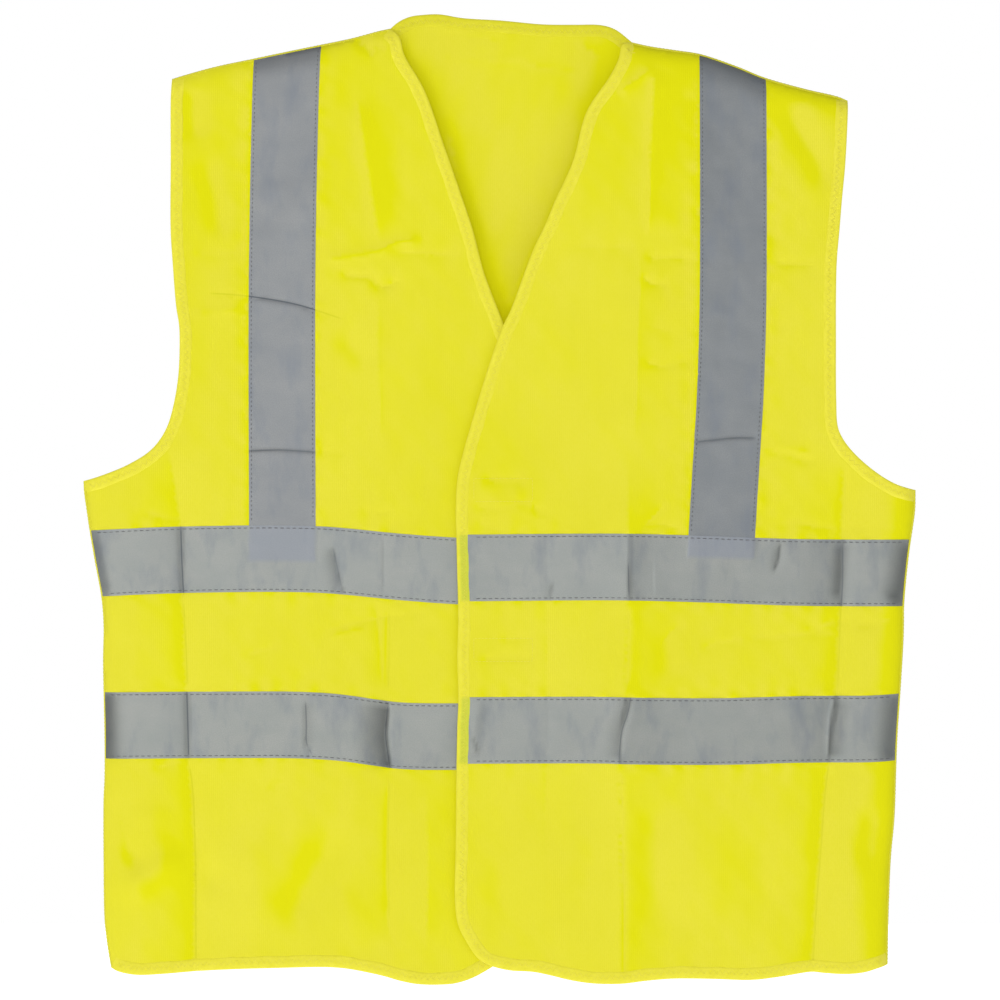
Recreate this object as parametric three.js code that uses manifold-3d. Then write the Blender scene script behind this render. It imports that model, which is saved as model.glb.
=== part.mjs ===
// High visibility vest: sleeveless, V neck, front closed by two hook-and-loop pads.
// Millimetres, +Z up, front towards -Y, +X towards the wearer's left.
// The origin is on the inside of the back neck, at its top edge, where the vest hangs.
import * as THREE from 'three';
import { mergeVertices } from 'three/addons/utils/BufferGeometryUtils.js';
import Module from 'manifold-3d';

// ---- driving dimensions, mm ----
const FABRIC = 1.0;            // knitted sheet, drawn thicker than real cloth
const GAP = 0.3;               // clearance between neighbouring bodies
const CAVITY = 12;             // space between the back and the under front
const LAP = 3.9;               // step from the under front to the over front
const TAPE = 50;               // reflective tape width
const TAPE_THICK = 1.0;
const BINDING = 9;             // edge binding width
const BINDING_THICK = 2.2;
const SEAM = 1.5;              // thickness of a sewn side or shoulder seam
const PAD_THICK = 1.5;         // hook pad or loop pad
const PAD_LENGTH = 44;
const PAD_WIDTH = 18;
const PAD_CENTRE_X = 0.8;
const UPPER_PAD_Z = -354.2;
const LOWER_PAD_Z = -474.5;
const STEP = 6;                // spacing of points along a curved edge
const FLATNESS = 0.22;         // how far a drawn edge may cut a corner

// ---- outlines as [x, z], mm ----
// left shoulder, neck to tip
const LEFT_SHOULDER = [[99.3, -16.5], [112, -19.3], [133.9, -22.6], [150.4, -25.2], [179, -34.9], [198.5, -42.8], [229.4, -51.5], [254.7, -57.5], [261.5, -60.4]];
// left armhole, shoulder tip to underarm
const LEFT_ARMHOLE = [[261.5, -60.4], [260.9, -72.9], [258.9, -109.8], [256.4, -136.1], [254.7, -156.9], [252.5, -182.7], [251.9, -211.3], [251.9, -241.4], [252.1, -286.5], [253.3, -306.8], [257.2, -315.8], [265.2, -326.1], [279.4, -338.8], [295.2, -348.9], [306.1, -352.7], [312.8, -354.2]];
// left side, underarm to hem
const LEFT_SIDE = [[312.8, -354.2], [312.6, -368.5], [311, -381.3], [309.4, -391.8], [307.1, -409.8], [304.3, -440.7], [304.1, -455.4], [303.8, -467], [301.4, -507.6], [299.3, -539.2], [298.5, -558], [296.9, -602.4], [294.3, -630.9], [292.5, -673], [291.8, -711.9]];
// left front hem, side to the rounded front corner
const LEFT_HEM = [[291.8, -711.9], [283.5, -714], [272.5, -717], [259.1, -718.2], [242.1, -717.4], [233.9, -716.7], [208.8, -720.4], [188.6, -722.7], [158.4, -721.9], [129.9, -721.7], [108, -723.4], [91, -725.4], [69.9, -725.4], [52.6, -723], [35.3, -718.9], [24.1, -716.7], [6.8, -715.6], [-5.3, -712.9], [-11.3, -710.6], [-18, -705.8], [-26.5, -693.1], [-32.3, -681.3], [-34.6, -664.4]];
// left front edge, corner to the point of the V
const LEFT_FRONT = [[-34.6, -664.4], [-34, -618.1], [-33.5, -563.2], [-32.9, -533.2], [-32.1, -510.6], [-32.9, -480.5], [-32.2, -452.7], [-33.2, -406.8], [-33.6, -388.8], [-34, -367.5], [-32.3, -342.9], [-19.3, -294], [-6.2, -251.7], [2, -229.7]];
// left neckline, point of the V to shoulder
const LEFT_NECK = [[2, -229.7], [7.3, -218.8], [24.1, -173.7], [33.8, -153.4], [39.9, -138.4], [54.1, -106.8], [64.4, -69.6], [82, -42.9], [88.7, -29.3], [91.4, -18.8], [99.3, -16.5]];
// right shoulder, neck to tip
const RIGHT_SHOULDER = [[-83.5, -6], [-91, -7.5], [-113.6, -13.5], [-135.4, -18], [-163.2, -23.7], [-186.5, -28.6], [-215.1, -34.6], [-239.9, -41.4], [-248.2, -44]];
// right armhole, shoulder tip to underarm
const RIGHT_ARMHOLE = [[-248.2, -44], [-248.9, -60.9], [-248.9, -106], [-248.9, -158.7], [-247.4, -182.7], [-244.7, -216.3], [-242.5, -230.1], [-242.1, -245.2], [-242.9, -266], [-245.9, -286.5], [-250.9, -305], [-257.2, -316.6], [-265.5, -325.6], [-281.2, -335.2], [-294, -340.7], [-306.8, -345.2], [-315.1, -347.4]];
// right side, underarm to hem
const RIGHT_SIDE = [[-315.1, -347.4], [-314.7, -355.7], [-312.8, -369.2], [-310.6, -384.3], [-306.8, -406.8], [-301.6, -435.4], [-300, -455.7], [-300.4, -482], [-300, -504.6], [-299.3, -542.2], [-299.3, -572.3], [-300, -587.3], [-300, -632.4], [-299.3, -677.6], [-297.8, -692.6], [-295.8, -705.8], [-294.3, -714.2]];
// right front hem, side to the rounded front corner
const RIGHT_HEM = [[-294.3, -714.2], [-289.5, -716.7], [-280.5, -718.9], [-271.5, -719.7], [-255.2, -718.9], [-226.4, -716.7], [-199.3, -715.2], [-172.2, -714.4], [-132.4, -713.6], [-117.3, -714.6], [-101.5, -717.4], [-88, -720.4], [-76, -723.9], [-62.4, -726.4], [-45.9, -726.8], [-33.8, -725.7], [-21.8, -721.9], [-10.5, -715.9], [0, -709.1], [12, -699.4], [23.3, -686.6], [32.3, -671.5], [35.3, -656.5]];
// right front edge, corner to the point of the V
const RIGHT_FRONT = [[35.3, -656.5], [35.7, -563.2], [36.1, -436.9], [36.1, -367], [35.7, -342.9], [23.3, -294], [10.5, -251.7], [2.3, -229.7]];
// right neckline, point of the V to shoulder
const RIGHT_NECK = [[2.3, -229.7], [-12.8, -190.3], [-21.1, -158.7], [-29.6, -133.1], [-42.9, -94.8], [-57.9, -52.6], [-72.9, -26.3], [-76.7, -12.8], [-83.5, -6]];
// back neckline, right shoulder to left shoulder
const BACK_NECK = [[-83.5, -6], [-77.5, -0.8], [-68.4, 3.4], [-57.9, 4.9], [-46.6, 5.3], [-29.3, 2.6], [-0.8, 0.8], [32.3, -2.3], [55.6, -2.6], [76, -3], [86.5, -6.4], [99.3, -16.5]];
// back hem, left side to right side
const BACK_HEM = [[291.8, -711.9], [270, -714], [224.8, -714.4], [149.6, -714.4], [74.4, -712.9], [-0.8, -710.6], [-76, -710.6], [-151.2, -710.6], [-226.4, -712.9], [-280.5, -715.9], [-294.3, -714.2]];

// centre lines of the reflective tapes
const LEFT_TAPE_LINE = [[174.5, -8.3], [174.5, -30.1], [174.5, -211.3], [172.2, -286.5], [170.3, -318.1], [166, -388.8], [165.1, -406.8]];
const RIGHT_TAPE_LINE = [[-159.4, -8.3], [-160.9, -23.3], [-164.7, -173.7], [-164.7, -380.5], [-164.7, -406.8]];
const RIGHT_UPPER_BAND_LINE = [[-331.6, -410.6], [-305.3, -409.5], [-241.4, -406.8], [-139.1, -406.5], [-76, -412.1], [-33.8, -415.1], [-0.8, -415.5], [44.4, -414.4]];
const RIGHT_LOWER_BAND_LINE = [[-331.6, -531.7], [-298.5, -531.7], [-241.4, -531.3], [-151.2, -531.3], [-121.1, -533.2], [-94.8, -536.9], [-76, -539.2], [-33.8, -539.9], [-0.8, -538.8], [44.4, -536.9]];
const LEFT_UPPER_BAND_LINE = [[-45.9, -412.8], [-24.8, -412.8], [89.5, -412.1], [149.6, -413.6], [224.8, -416.2], [306.1, -416.6], [330.1, -416.6]];
const LEFT_LOWER_BAND_LINE = [[-45.9, -535], [-23.3, -535], [74.4, -534.7], [104.5, -535.4], [164.7, -535.8], [224.8, -534.3], [277.5, -533.9], [298.5, -532.8], [330.1, -532.4]];
const BACK_UPPER_BAND_LINE = [[-331.6, -410.6], [-305.3, -409.8], [-151.2, -409.1], [-0.8, -412.1], [149.6, -413.6], [306.1, -416.2], [330.1, -416.6]];
const BACK_LOWER_BAND_LINE = [[-331.6, -531.7], [-298.5, -531.7], [-151.2, -533.9], [-0.8, -536.2], [149.6, -535.4], [298.5, -533.2], [330.1, -533.2]];

// fold lines about which the two front flaps open, top to bottom
const LEFT_FOLD = [[104.5, -18], [166.2, -726.4]];
const RIGHT_FOLD = [[-87.2, -9], [-102.3, -726.4]];

const wasm = await Module();
wasm.setup();
const { Manifold, Mesh } = wasm;

// ---- layers, y of the front face and of the back face ----
const BACK = { front: 0, back: FABRIC };
const UNDER = { front: -CAVITY - FABRIC, back: -CAVITY };
const OVER = { front: UNDER.front - LAP - FABRIC, back: UNDER.front - LAP };
const REACH = 60;              // half depth of a cutting prism

// ---- plane curves ----
// drops the points that lie within FLATNESS of the chord between those that are kept
function thinned(points) {
  const [a, b] = [points[0], points[points.length - 1]];
  const l = Math.hypot(b[0] - a[0], b[1] - a[1]);
  let far = 0;
  let at = 0;
  for (let i = 1; i < points.length - 1; i++) {
    const p = points[i];
    const d = Math.abs((b[0] - a[0]) * (p[1] - a[1]) - (b[1] - a[1]) * (p[0] - a[0])) / l;
    if (d > far) {
      far = d;
      at = i;
    }
  }
  if (far < FLATNESS) return [a, b];
  return [...thinned(points.slice(0, at + 1)).slice(0, -1), ...thinned(points.slice(at))];
}

function smooth(points) {
  const curve = new THREE.CatmullRomCurve3(points.map(([x, z]) => new THREE.Vector3(x, z, 0)), false, 'centripetal');
  const n = Math.max(2, Math.round(curve.getLength() / STEP));
  const out = [];
  for (let i = 0; i <= n; i++) {
    const p = curve.getPointAt(i / n);
    out.push([p.x, p.y]);
  }
  out[0] = points[0].slice();
  out[n] = points[points.length - 1].slice();
  return thinned(out);
}

// points moved sideways by d: to the left of the direction of travel when d is positive
function sideways(points, d) {
  const normals = points.slice(1).map((p, i) => {
    const q = points[i];
    const l = Math.hypot(p[0] - q[0], p[1] - q[1]);
    return [-(p[1] - q[1]) / l, (p[0] - q[0]) / l];
  });
  return points.map((p, i) => {
    const m = normals[Math.max(0, i - 1)];
    const n = normals[Math.min(normals.length - 1, i)];
    const k = d / Math.max(0.3, (1 + m[0] * n[0] + m[1] * n[1]));
    return [p[0] + (m[0] + n[0]) * k, p[1] + (m[1] + n[1]) * k];
  });
}

function lengthened(points, by) {
  const grow = (p, q) => {
    const l = Math.hypot(p[0] - q[0], p[1] - q[1]);
    return [p[0] + ((p[0] - q[0]) / l) * by, p[1] + ((p[1] - q[1]) / l) * by];
  };
  const n = points.length;
  return [grow(points[0], points[1]), ...points.slice(1, -1), grow(points[n - 1], points[n - 2])];
}

// ---- solids ----
function solid(geometry) {
  geometry.deleteAttribute('normal');
  geometry.deleteAttribute('uv');
  const merged = mergeVertices(geometry, 1e-4);
  return new Manifold(new Mesh({
    numProp: 3,
    vertProperties: merged.attributes.position.array,
    triVerts: new Uint32Array(merged.index.array),
  }));
}

// the prism of an outline [x, z], right through the garment along y
function prism(loop) {
  const shape = new THREE.Shape(loop.map(([x, z]) => new THREE.Vector2(x, z)));
  const geometry = new THREE.ExtrudeGeometry(shape, { depth: 2 * REACH, bevelEnabled: false });
  geometry.translate(0, 0, -REACH);
  geometry.rotateX(Math.PI / 2);
  return solid(geometry);
}

// the strip beside an edge, from d0 to d1 to its left
function strip(points, d0, d1, by = 4) {
  const line = by ? lengthened(points, by) : points;
  return prism([...sideways(line, d0), ...sideways(line, d1).reverse()]);
}

// everything under a line that runs to +X, starting d above it
function below(line, d) {
  const top = sideways(line, d);
  return prism([...top, [top[top.length - 1][0], -900], [top[0][0], -900]]);
}

// everything on one side of a fold line, at least clear away from it
function beside(fold, side, clear) {
  const line = lengthened(fold, 200);
  return prism([...sideways(line, side * clear), ...sideways(line, side * 900).reverse()]);
}

const all = (...parts) => parts.reduce((a, b) => a.add(b));

const MATERIALS = {
  hi_vis_fabric: new THREE.MeshStandardMaterial({ name: 'hi_vis_fabric', color: 0xe6e43c, roughness: 0.85 }),
  edge_binding: new THREE.MeshStandardMaterial({ name: 'edge_binding', color: 0xeee85f, roughness: 0.8 }),
  reflective_tape: new THREE.MeshStandardMaterial({ name: 'reflective_tape', color: 0xa0a6a4, roughness: 0.45, metalness: 0.3 }),
  seam_thread: new THREE.MeshStandardMaterial({ name: 'seam_thread', color: 0xdcdc28, roughness: 0.9 }),
  hook_tape: new THREE.MeshStandardMaterial({ name: 'hook_tape', color: 0xe2e04a, roughness: 0.7 }),
  loop_tape: new THREE.MeshStandardMaterial({ name: 'loop_tape', color: 0xdedb46, roughness: 0.95 }),
};

const vest = new THREE.Group();
vest.name = 'high_visibility_vest';

// a plate: the part of a prism between two depths, front < back
function plate(name, through, front, back, slot) {
  const box = new THREE.BoxGeometry(2000, back - front, 2000);
  box.translate(0, (front + back) / 2, 0);
  const mesh = through.intersect(solid(box)).getMesh();
  const geometry = new THREE.BufferGeometry();
  geometry.setAttribute('position', new THREE.BufferAttribute(new Float32Array(mesh.vertProperties), mesh.numProp));
  geometry.setIndex(Array.from(mesh.triVerts));
  geometry.computeVertexNormals();
  const node = new THREE.Mesh(geometry, MATERIALS[slot]);
  node.name = name;
  vest.add(node);
}

// ---- the two fronts: panel, tapes, bindings and seams, cut at the fold ----
const FRONTS = {
  left: {
    turn: -1, layer: OVER, fold: LEFT_FOLD,
    shoulder: smooth(LEFT_SHOULDER), armhole: smooth(LEFT_ARMHOLE), side: smooth(LEFT_SIDE),
    bound: smooth([...LEFT_HEM, ...LEFT_FRONT.slice(1), ...LEFT_NECK.slice(1)]),
    tape: smooth(LEFT_TAPE_LINE), upper: smooth(LEFT_UPPER_BAND_LINE), lower: smooth(LEFT_LOWER_BAND_LINE),
  },
  right: {
    turn: 1, layer: UNDER, fold: RIGHT_FOLD,
    shoulder: smooth(RIGHT_SHOULDER), armhole: smooth(RIGHT_ARMHOLE), side: smooth(RIGHT_SIDE),
    bound: smooth([...RIGHT_HEM, ...RIGHT_FRONT.slice(1), ...RIGHT_NECK.slice(1)]),
    tape: smooth(RIGHT_TAPE_LINE), upper: smooth(RIGHT_UPPER_BAND_LINE), lower: smooth(RIGHT_LOWER_BAND_LINE),
  },
};
const INSET = 0.8;             // tapes stop this far short of the cloth's cut edge
const CLEAR = BINDING + GAP;

// the strip inside one or more of a front's edges, from d0 to d1 inwards
function along(e, names, d0, d1) {
  return all(...names.map((k) => strip(e[k], e.turn * d0, e.turn * d1, k === 'bound' ? 12 : 4)));
}

for (const [side, e] of Object.entries(FRONTS)) {
  const outline = prism([...e.shoulder, ...e.armhole.slice(1), ...e.side.slice(1), ...e.bound.slice(1, -1)]);
  const out = -e.turn;
  const outer = beside(e.fold, out, GAP / 2);
  const flap = beside(e.fold, -out, GAP / 2);
  const seams = along(e, ['shoulder', 'side'], -4, SEAM + GAP);
  const cloth = outline.subtract(along(e, ['bound'], -4, CLEAR)).subtract(along(e, ['armhole'], -4, CLEAR)).subtract(seams);
  const { layer } = e;
  plate(side + '_front_panel', cloth.intersect(outer), layer.front, layer.back, 'hi_vis_fabric');
  plate(side + '_flap_panel', cloth.intersect(flap), layer.front, layer.back, 'hi_vis_fabric');

  const mid = (layer.front + layer.back) / 2;
  const bf = mid - BINDING_THICK / 2;
  const bb = mid + BINDING_THICK / 2;
  plate(side + '_flap_binding', outline.intersect(along(e, ['bound'], -4, BINDING)).intersect(flap), bf, bb, 'edge_binding');
  plate(side + '_hem_binding', outline.intersect(along(e, ['bound'], -4, BINDING)).intersect(outer).intersect(below(e.lower, 0)), bf, bb, 'edge_binding');
  plate(side + '_armhole_front_binding', outline.intersect(along(e, ['armhole'], -4, BINDING)).subtract(seams), bf, bb, 'edge_binding');

  const tf = layer.front - GAP - TAPE_THICK;
  const tb = layer.front - GAP;
  const field = outline
    .subtract(along(e, ['bound'], -4, CLEAR + INSET)).subtract(along(e, ['armhole'], -4, CLEAR + INSET))
    .subtract(along(e, ['shoulder', 'side'], -4, SEAM + GAP + INSET));
  const outerField = field.intersect(beside(e.fold, out, GAP / 2 + INSET / 2));
  const flapField = field.intersect(beside(e.fold, -out, GAP / 2 + INSET / 2));
  const upper = strip(e.upper, -TAPE / 2, TAPE / 2, 0);
  const lower = strip(e.lower, -TAPE / 2, TAPE / 2, 0);
  const vertical = strip(e.tape, -TAPE / 2, TAPE / 2, 0).subtract(below(e.upper, TAPE / 2 + GAP + 0.1));
  plate(side + '_front_tape', vertical.intersect(outerField), tf, tb, 'reflective_tape');
  plate(side + '_upper_band', upper.intersect(outerField), tf, tb, 'reflective_tape');
  plate(side + '_lower_band', lower.intersect(outerField), tf, tb, 'reflective_tape');
  plate(side + '_upper_band_flap', upper.intersect(flapField), tf, tb, 'reflective_tape');
  plate(side + '_lower_band_flap', lower.intersect(flapField), tf, tb, 'reflective_tape');

  plate(side + '_side_seam', outline.subtract(along(e, ['bound'], -4, CLEAR)).intersect(along(e, ['side'], -4, SEAM)), layer.front, BACK.back, 'seam_thread');
  plate(side + '_shoulder_seam', outline.intersect(along(e, ['shoulder'], -4, SEAM)).intersect(outer), layer.front, BACK.back, 'seam_thread');
}

// ---- hook pads behind the over flap, loop pads on the under flap ----
for (const [level, z] of [['upper', UPPER_PAD_Z], ['lower', LOWER_PAD_Z]]) {
  const w = PAD_LENGTH / 2;
  const h = PAD_WIDTH / 2;
  const x = PAD_CENTRE_X;
  const pad = prism([[x - w, z - h], [x + w, z - h], [x + w, z + h], [x - w, z + h]]);
  plate(level + '_hook_pad', pad, OVER.back + GAP, OVER.back + GAP + PAD_THICK, 'hook_tape');
  plate(level + '_loop_pad', pad, UNDER.front - GAP - PAD_THICK, UNDER.front - GAP, 'loop_tape');
}

// ---- back ----
{
  const l = FRONTS.left;
  const r = FRONTS.right;
  const neck = smooth(BACK_NECK);
  const hem = smooth(BACK_HEM);
  const outline = prism([
    ...neck, ...l.shoulder.slice(1), ...l.armhole.slice(1), ...l.side.slice(1), ...hem.slice(1),
    ...r.side.slice(0, -1).reverse(), ...r.armhole.slice(0, -1).reverse(), ...r.shoulder.slice(1, -1).reverse(),
  ]);
  const high = (to) => strip(neck, 4, -to);
  const low = (to) => strip(hem, 4, -to);
  const pair = (names, to) => along(l, names, -4, to).add(along(r, names, -4, to));
  const seams = pair(['shoulder', 'side'], SEAM + GAP);
  const cloth = outline.subtract(high(CLEAR)).subtract(low(CLEAR)).subtract(seams).subtract(pair(['armhole'], CLEAR));
  plate('back_panel', cloth, BACK.front, BACK.back, 'hi_vis_fabric');
  const bf = BACK.back / 2 - BINDING_THICK / 2;
  const bb = BACK.back / 2 + BINDING_THICK / 2;
  plate('back_neck_binding', outline.intersect(high(BINDING)).subtract(seams), bf, bb, 'edge_binding');
  plate('back_hem_binding', outline.intersect(low(BINDING)).subtract(seams), bf, bb, 'edge_binding');
  for (const [side, e] of Object.entries(FRONTS)) {
    plate(side + '_armhole_back_binding', outline.intersect(along(e, ['armhole'], -4, BINDING)).subtract(seams), bf, bb, 'edge_binding');
  }
  const tf = BACK.back + GAP;
  const field = outline
    .subtract(high(CLEAR + INSET)).subtract(low(CLEAR + INSET))
    .subtract(pair(['shoulder', 'side'], SEAM + GAP + INSET)).subtract(pair(['armhole'], CLEAR + INSET));
  const upperLine = smooth(BACK_UPPER_BAND_LINE);
  plate('back_upper_band', strip(upperLine, -TAPE / 2, TAPE / 2, 0).intersect(field), tf, tf + TAPE_THICK, 'reflective_tape');
  plate('back_lower_band', strip(smooth(BACK_LOWER_BAND_LINE), -TAPE / 2, TAPE / 2, 0).intersect(field), tf, tf + TAPE_THICK, 'reflective_tape');
  const cut = below(upperLine, TAPE / 2 + GAP + 0.1);
  for (const [side, e] of Object.entries(FRONTS)) {
    plate(side + '_back_tape', strip(e.tape, -TAPE / 2, TAPE / 2, 0).subtract(cut).intersect(field), tf, tf + TAPE_THICK, 'reflective_tape');
  }
}

export default vest;
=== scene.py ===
# High visibility vest: the looks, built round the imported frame. Metres in Blender; outlines are kept in mm.
import math

import bpy
import numpy as np
from mathutils.geometry import delaunay_2d_cdt
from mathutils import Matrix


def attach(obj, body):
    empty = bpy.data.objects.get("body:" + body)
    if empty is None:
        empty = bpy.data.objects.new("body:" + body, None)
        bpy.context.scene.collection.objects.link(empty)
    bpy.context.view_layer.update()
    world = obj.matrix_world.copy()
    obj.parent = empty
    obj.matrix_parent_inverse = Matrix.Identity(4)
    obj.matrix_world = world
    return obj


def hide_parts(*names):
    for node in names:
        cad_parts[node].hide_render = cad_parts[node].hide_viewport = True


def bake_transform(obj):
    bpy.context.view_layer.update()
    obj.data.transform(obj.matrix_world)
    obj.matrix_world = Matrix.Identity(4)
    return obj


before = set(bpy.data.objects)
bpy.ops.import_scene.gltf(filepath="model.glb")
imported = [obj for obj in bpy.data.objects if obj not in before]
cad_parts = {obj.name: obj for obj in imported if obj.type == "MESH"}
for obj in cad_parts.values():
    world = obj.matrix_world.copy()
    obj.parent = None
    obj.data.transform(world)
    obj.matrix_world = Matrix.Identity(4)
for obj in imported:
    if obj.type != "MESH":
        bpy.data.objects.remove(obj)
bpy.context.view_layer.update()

# ---------------------------------------------------------------- sizes, mm
CLOTH = 0.45            # knitted cloth thickness
TAPE = 50.0             # reflective tape width
BIND = 9.0              # edge binding width
SEAM_Y = -6.5           # where front and back are sewn together
STEP_UNDER = 6.0        # the right front stands this far in front of that
STEP_OVER = 10.9        # the left front, which laps over it
STEP_BACK = 7.0
FOLD_CLEAR = (2.0, 26.0)  # guide lines run beside each fold line between these distances, and the bands are meshed finer out to about the far one

# ---------------------------------------------------------------- outlines, [x, z] in mm
LEFT_SHOULDER = [[99.3, -16.5], [112, -19.3], [133.9, -22.6], [150.4, -25.2], [179, -34.9], [198.5, -42.8],
    [229.4, -51.5], [254.7, -57.5], [261.5, -60.4]]
LEFT_ARMHOLE = [[261.5, -60.4], [260.9, -72.9], [258.9, -109.8], [256.4, -136.1], [254.7, -156.9], [252.5, -182.7],
    [251.9, -211.3], [251.9, -241.4], [252.1, -286.5], [253.3, -306.8], [257.2, -315.8], [265.2, -326.1],
    [279.4, -338.8], [295.2, -348.9], [306.1, -352.7], [312.8, -354.2]]
LEFT_SIDE = [[312.8, -354.2], [312.6, -368.5], [311, -381.3], [309.4, -391.8], [307.1, -409.8], [304.3, -440.7],
    [304.1, -455.4], [303.8, -467], [301.4, -507.6], [299.3, -539.2], [298.5, -558], [296.9, -602.4],
    [294.3, -630.9], [292.5, -673], [291.8, -711.9]]
LEFT_HEM = [[291.8, -711.9], [283.5, -714], [272.5, -717], [259.1, -718.2], [242.1, -717.4], [233.9, -716.7],
    [208.8, -720.4], [188.6, -722.7], [158.4, -721.9], [129.9, -721.7], [108, -723.4], [91, -725.4], [69.9, -725.4],
    [52.6, -723], [35.3, -718.9], [24.1, -716.7], [6.8, -715.6], [-5.3, -712.9], [-11.3, -710.6], [-18, -705.8],
    [-26.5, -693.1], [-32.3, -681.3], [-34.6, -664.4]]
LEFT_FRONT = [[-34.6, -664.4], [-34, -618.1], [-33.5, -563.2], [-32.9, -533.2], [-32.1, -510.6], [-32.9, -480.5],
    [-32.2, -452.7], [-33.2, -406.8], [-33.6, -388.8], [-34, -367.5], [-32.3, -342.9], [-19.3, -294], [-6.2, -251.7],
    [2, -229.7]]
LEFT_NECK = [[2, -229.7], [7.3, -218.8], [24.1, -173.7], [33.8, -153.4], [39.9, -138.4], [54.1, -106.8],
    [64.4, -69.6], [82, -42.9], [88.7, -29.3], [91.4, -18.8], [99.3, -16.5]]
RIGHT_SHOULDER = [[-83.5, -6], [-91, -7.5], [-113.6, -13.5], [-135.4, -18], [-163.2, -23.7], [-186.5, -28.6],
    [-215.1, -34.6], [-239.9, -41.4], [-248.2, -44]]
RIGHT_ARMHOLE = [[-248.2, -44], [-248.9, -60.9], [-248.9, -106], [-248.9, -158.7], [-247.4, -182.7],
    [-244.7, -216.3], [-242.5, -230.1], [-242.1, -245.2], [-242.9, -266], [-245.9, -286.5], [-250.9, -305],
    [-257.2, -316.6], [-265.5, -325.6], [-281.2, -335.2], [-294, -340.7], [-306.8, -345.2], [-315.1, -347.4]]
RIGHT_SIDE = [[-315.1, -347.4], [-314.7, -355.7], [-312.8, -369.2], [-310.6, -384.3], [-306.8, -406.8],
    [-301.6, -435.4], [-300, -455.7], [-300.4, -482], [-300, -504.6], [-299.3, -542.2], [-299.3, -572.3],
    [-300, -587.3], [-300, -632.4], [-299.3, -677.6], [-297.8, -692.6], [-295.8, -705.8], [-294.3, -714.2]]
RIGHT_HEM = [[-294.3, -714.2], [-289.5, -716.7], [-280.5, -718.9], [-271.5, -719.7], [-255.2, -718.9],
    [-226.4, -716.7], [-199.3, -715.2], [-172.2, -714.4], [-132.4, -713.6], [-117.3, -714.6], [-101.5, -717.4],
    [-88, -720.4], [-76, -723.9], [-62.4, -726.4], [-45.9, -726.8], [-33.8, -725.7], [-21.8, -721.9],
    [-10.5, -715.9], [0, -709.1], [12, -699.4], [23.3, -686.6], [32.3, -671.5], [35.3, -656.5]]
RIGHT_FRONT = [[35.3, -656.5], [35.7, -563.2], [36.1, -436.9], [36.1, -367], [35.7, -342.9], [23.3, -294],
    [10.5, -251.7], [2.3, -229.7]]
RIGHT_NECK = [[2.3, -229.7], [-12.8, -190.3], [-21.1, -158.7], [-29.6, -133.1], [-42.9, -94.8], [-57.9, -52.6],
    [-72.9, -26.3], [-76.7, -12.8], [-83.5, -6]]
BACK_NECK = [[-83.5, -6], [-77.5, -0.8], [-68.4, 3.4], [-57.9, 4.9], [-46.6, 5.3], [-29.3, 2.6], [-0.8, 0.8],
    [32.3, -2.3], [55.6, -2.6], [76, -3], [86.5, -6.4], [99.3, -16.5]]
BACK_HEM = [[291.8, -711.9], [270, -714], [224.8, -714.4], [149.6, -714.4], [74.4, -712.9], [-0.8, -710.6],
    [-76, -710.6], [-151.2, -710.6], [-226.4, -712.9], [-280.5, -715.9], [-294.3, -714.2]]

# centre lines of the reflective tapes
LEFT_TAPE_LINE = [[174.5, -8.3], [174.5, -30.1], [174.5, -211.3], [172.2, -286.5], [170.3, -318.1], [166, -388.8],
    [165.1, -406.8]]
RIGHT_TAPE_LINE = [[-159.4, -8.3], [-160.9, -23.3], [-164.7, -173.7], [-164.7, -380.5], [-164.7, -406.8]]
RIGHT_UPPER_BAND_LINE = [[-331.6, -410.6], [-305.3, -409.5], [-241.4, -406.8], [-139.1, -406.5], [-76, -412.1],
    [-33.8, -415.1], [-0.8, -415.5], [44.4, -414.4]]
RIGHT_LOWER_BAND_LINE = [[-331.6, -531.7], [-298.5, -531.7], [-241.4, -531.3], [-151.2, -531.3], [-121.1, -533.2],
    [-94.8, -536.9], [-76, -539.2], [-33.8, -539.9], [-0.8, -538.8], [44.4, -536.9]]
LEFT_UPPER_BAND_LINE = [[-45.9, -412.8], [-24.8, -412.8], [89.5, -412.1], [149.6, -413.6], [224.8, -416.2],
    [306.1, -416.6], [330.1, -416.6]]
LEFT_LOWER_BAND_LINE = [[-45.9, -535], [-23.3, -535], [74.4, -534.7], [104.5, -535.4], [164.7, -535.8],
    [224.8, -534.3], [277.5, -533.9], [298.5, -532.8], [330.1, -532.4]]
BACK_UPPER_BAND_LINE = [[-331.6, -410.6], [-305.3, -409.8], [-151.2, -409.1], [-0.8, -412.1], [149.6, -413.6],
    [306.1, -416.2], [330.1, -416.6]]
BACK_LOWER_BAND_LINE = [[-331.6, -531.7], [-298.5, -531.7], [-151.2, -533.9], [-0.8, -536.2], [149.6, -535.4],
    [298.5, -533.2], [330.1, -533.2]]

# where each front folds open
LEFT_FOLD = [[104.5, -18], [166.2, -726.4]]
RIGHT_FOLD = [[-87.2, -9], [-102.3, -726.4]]

# ---------------------------------------------------------------- plane geometry


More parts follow.
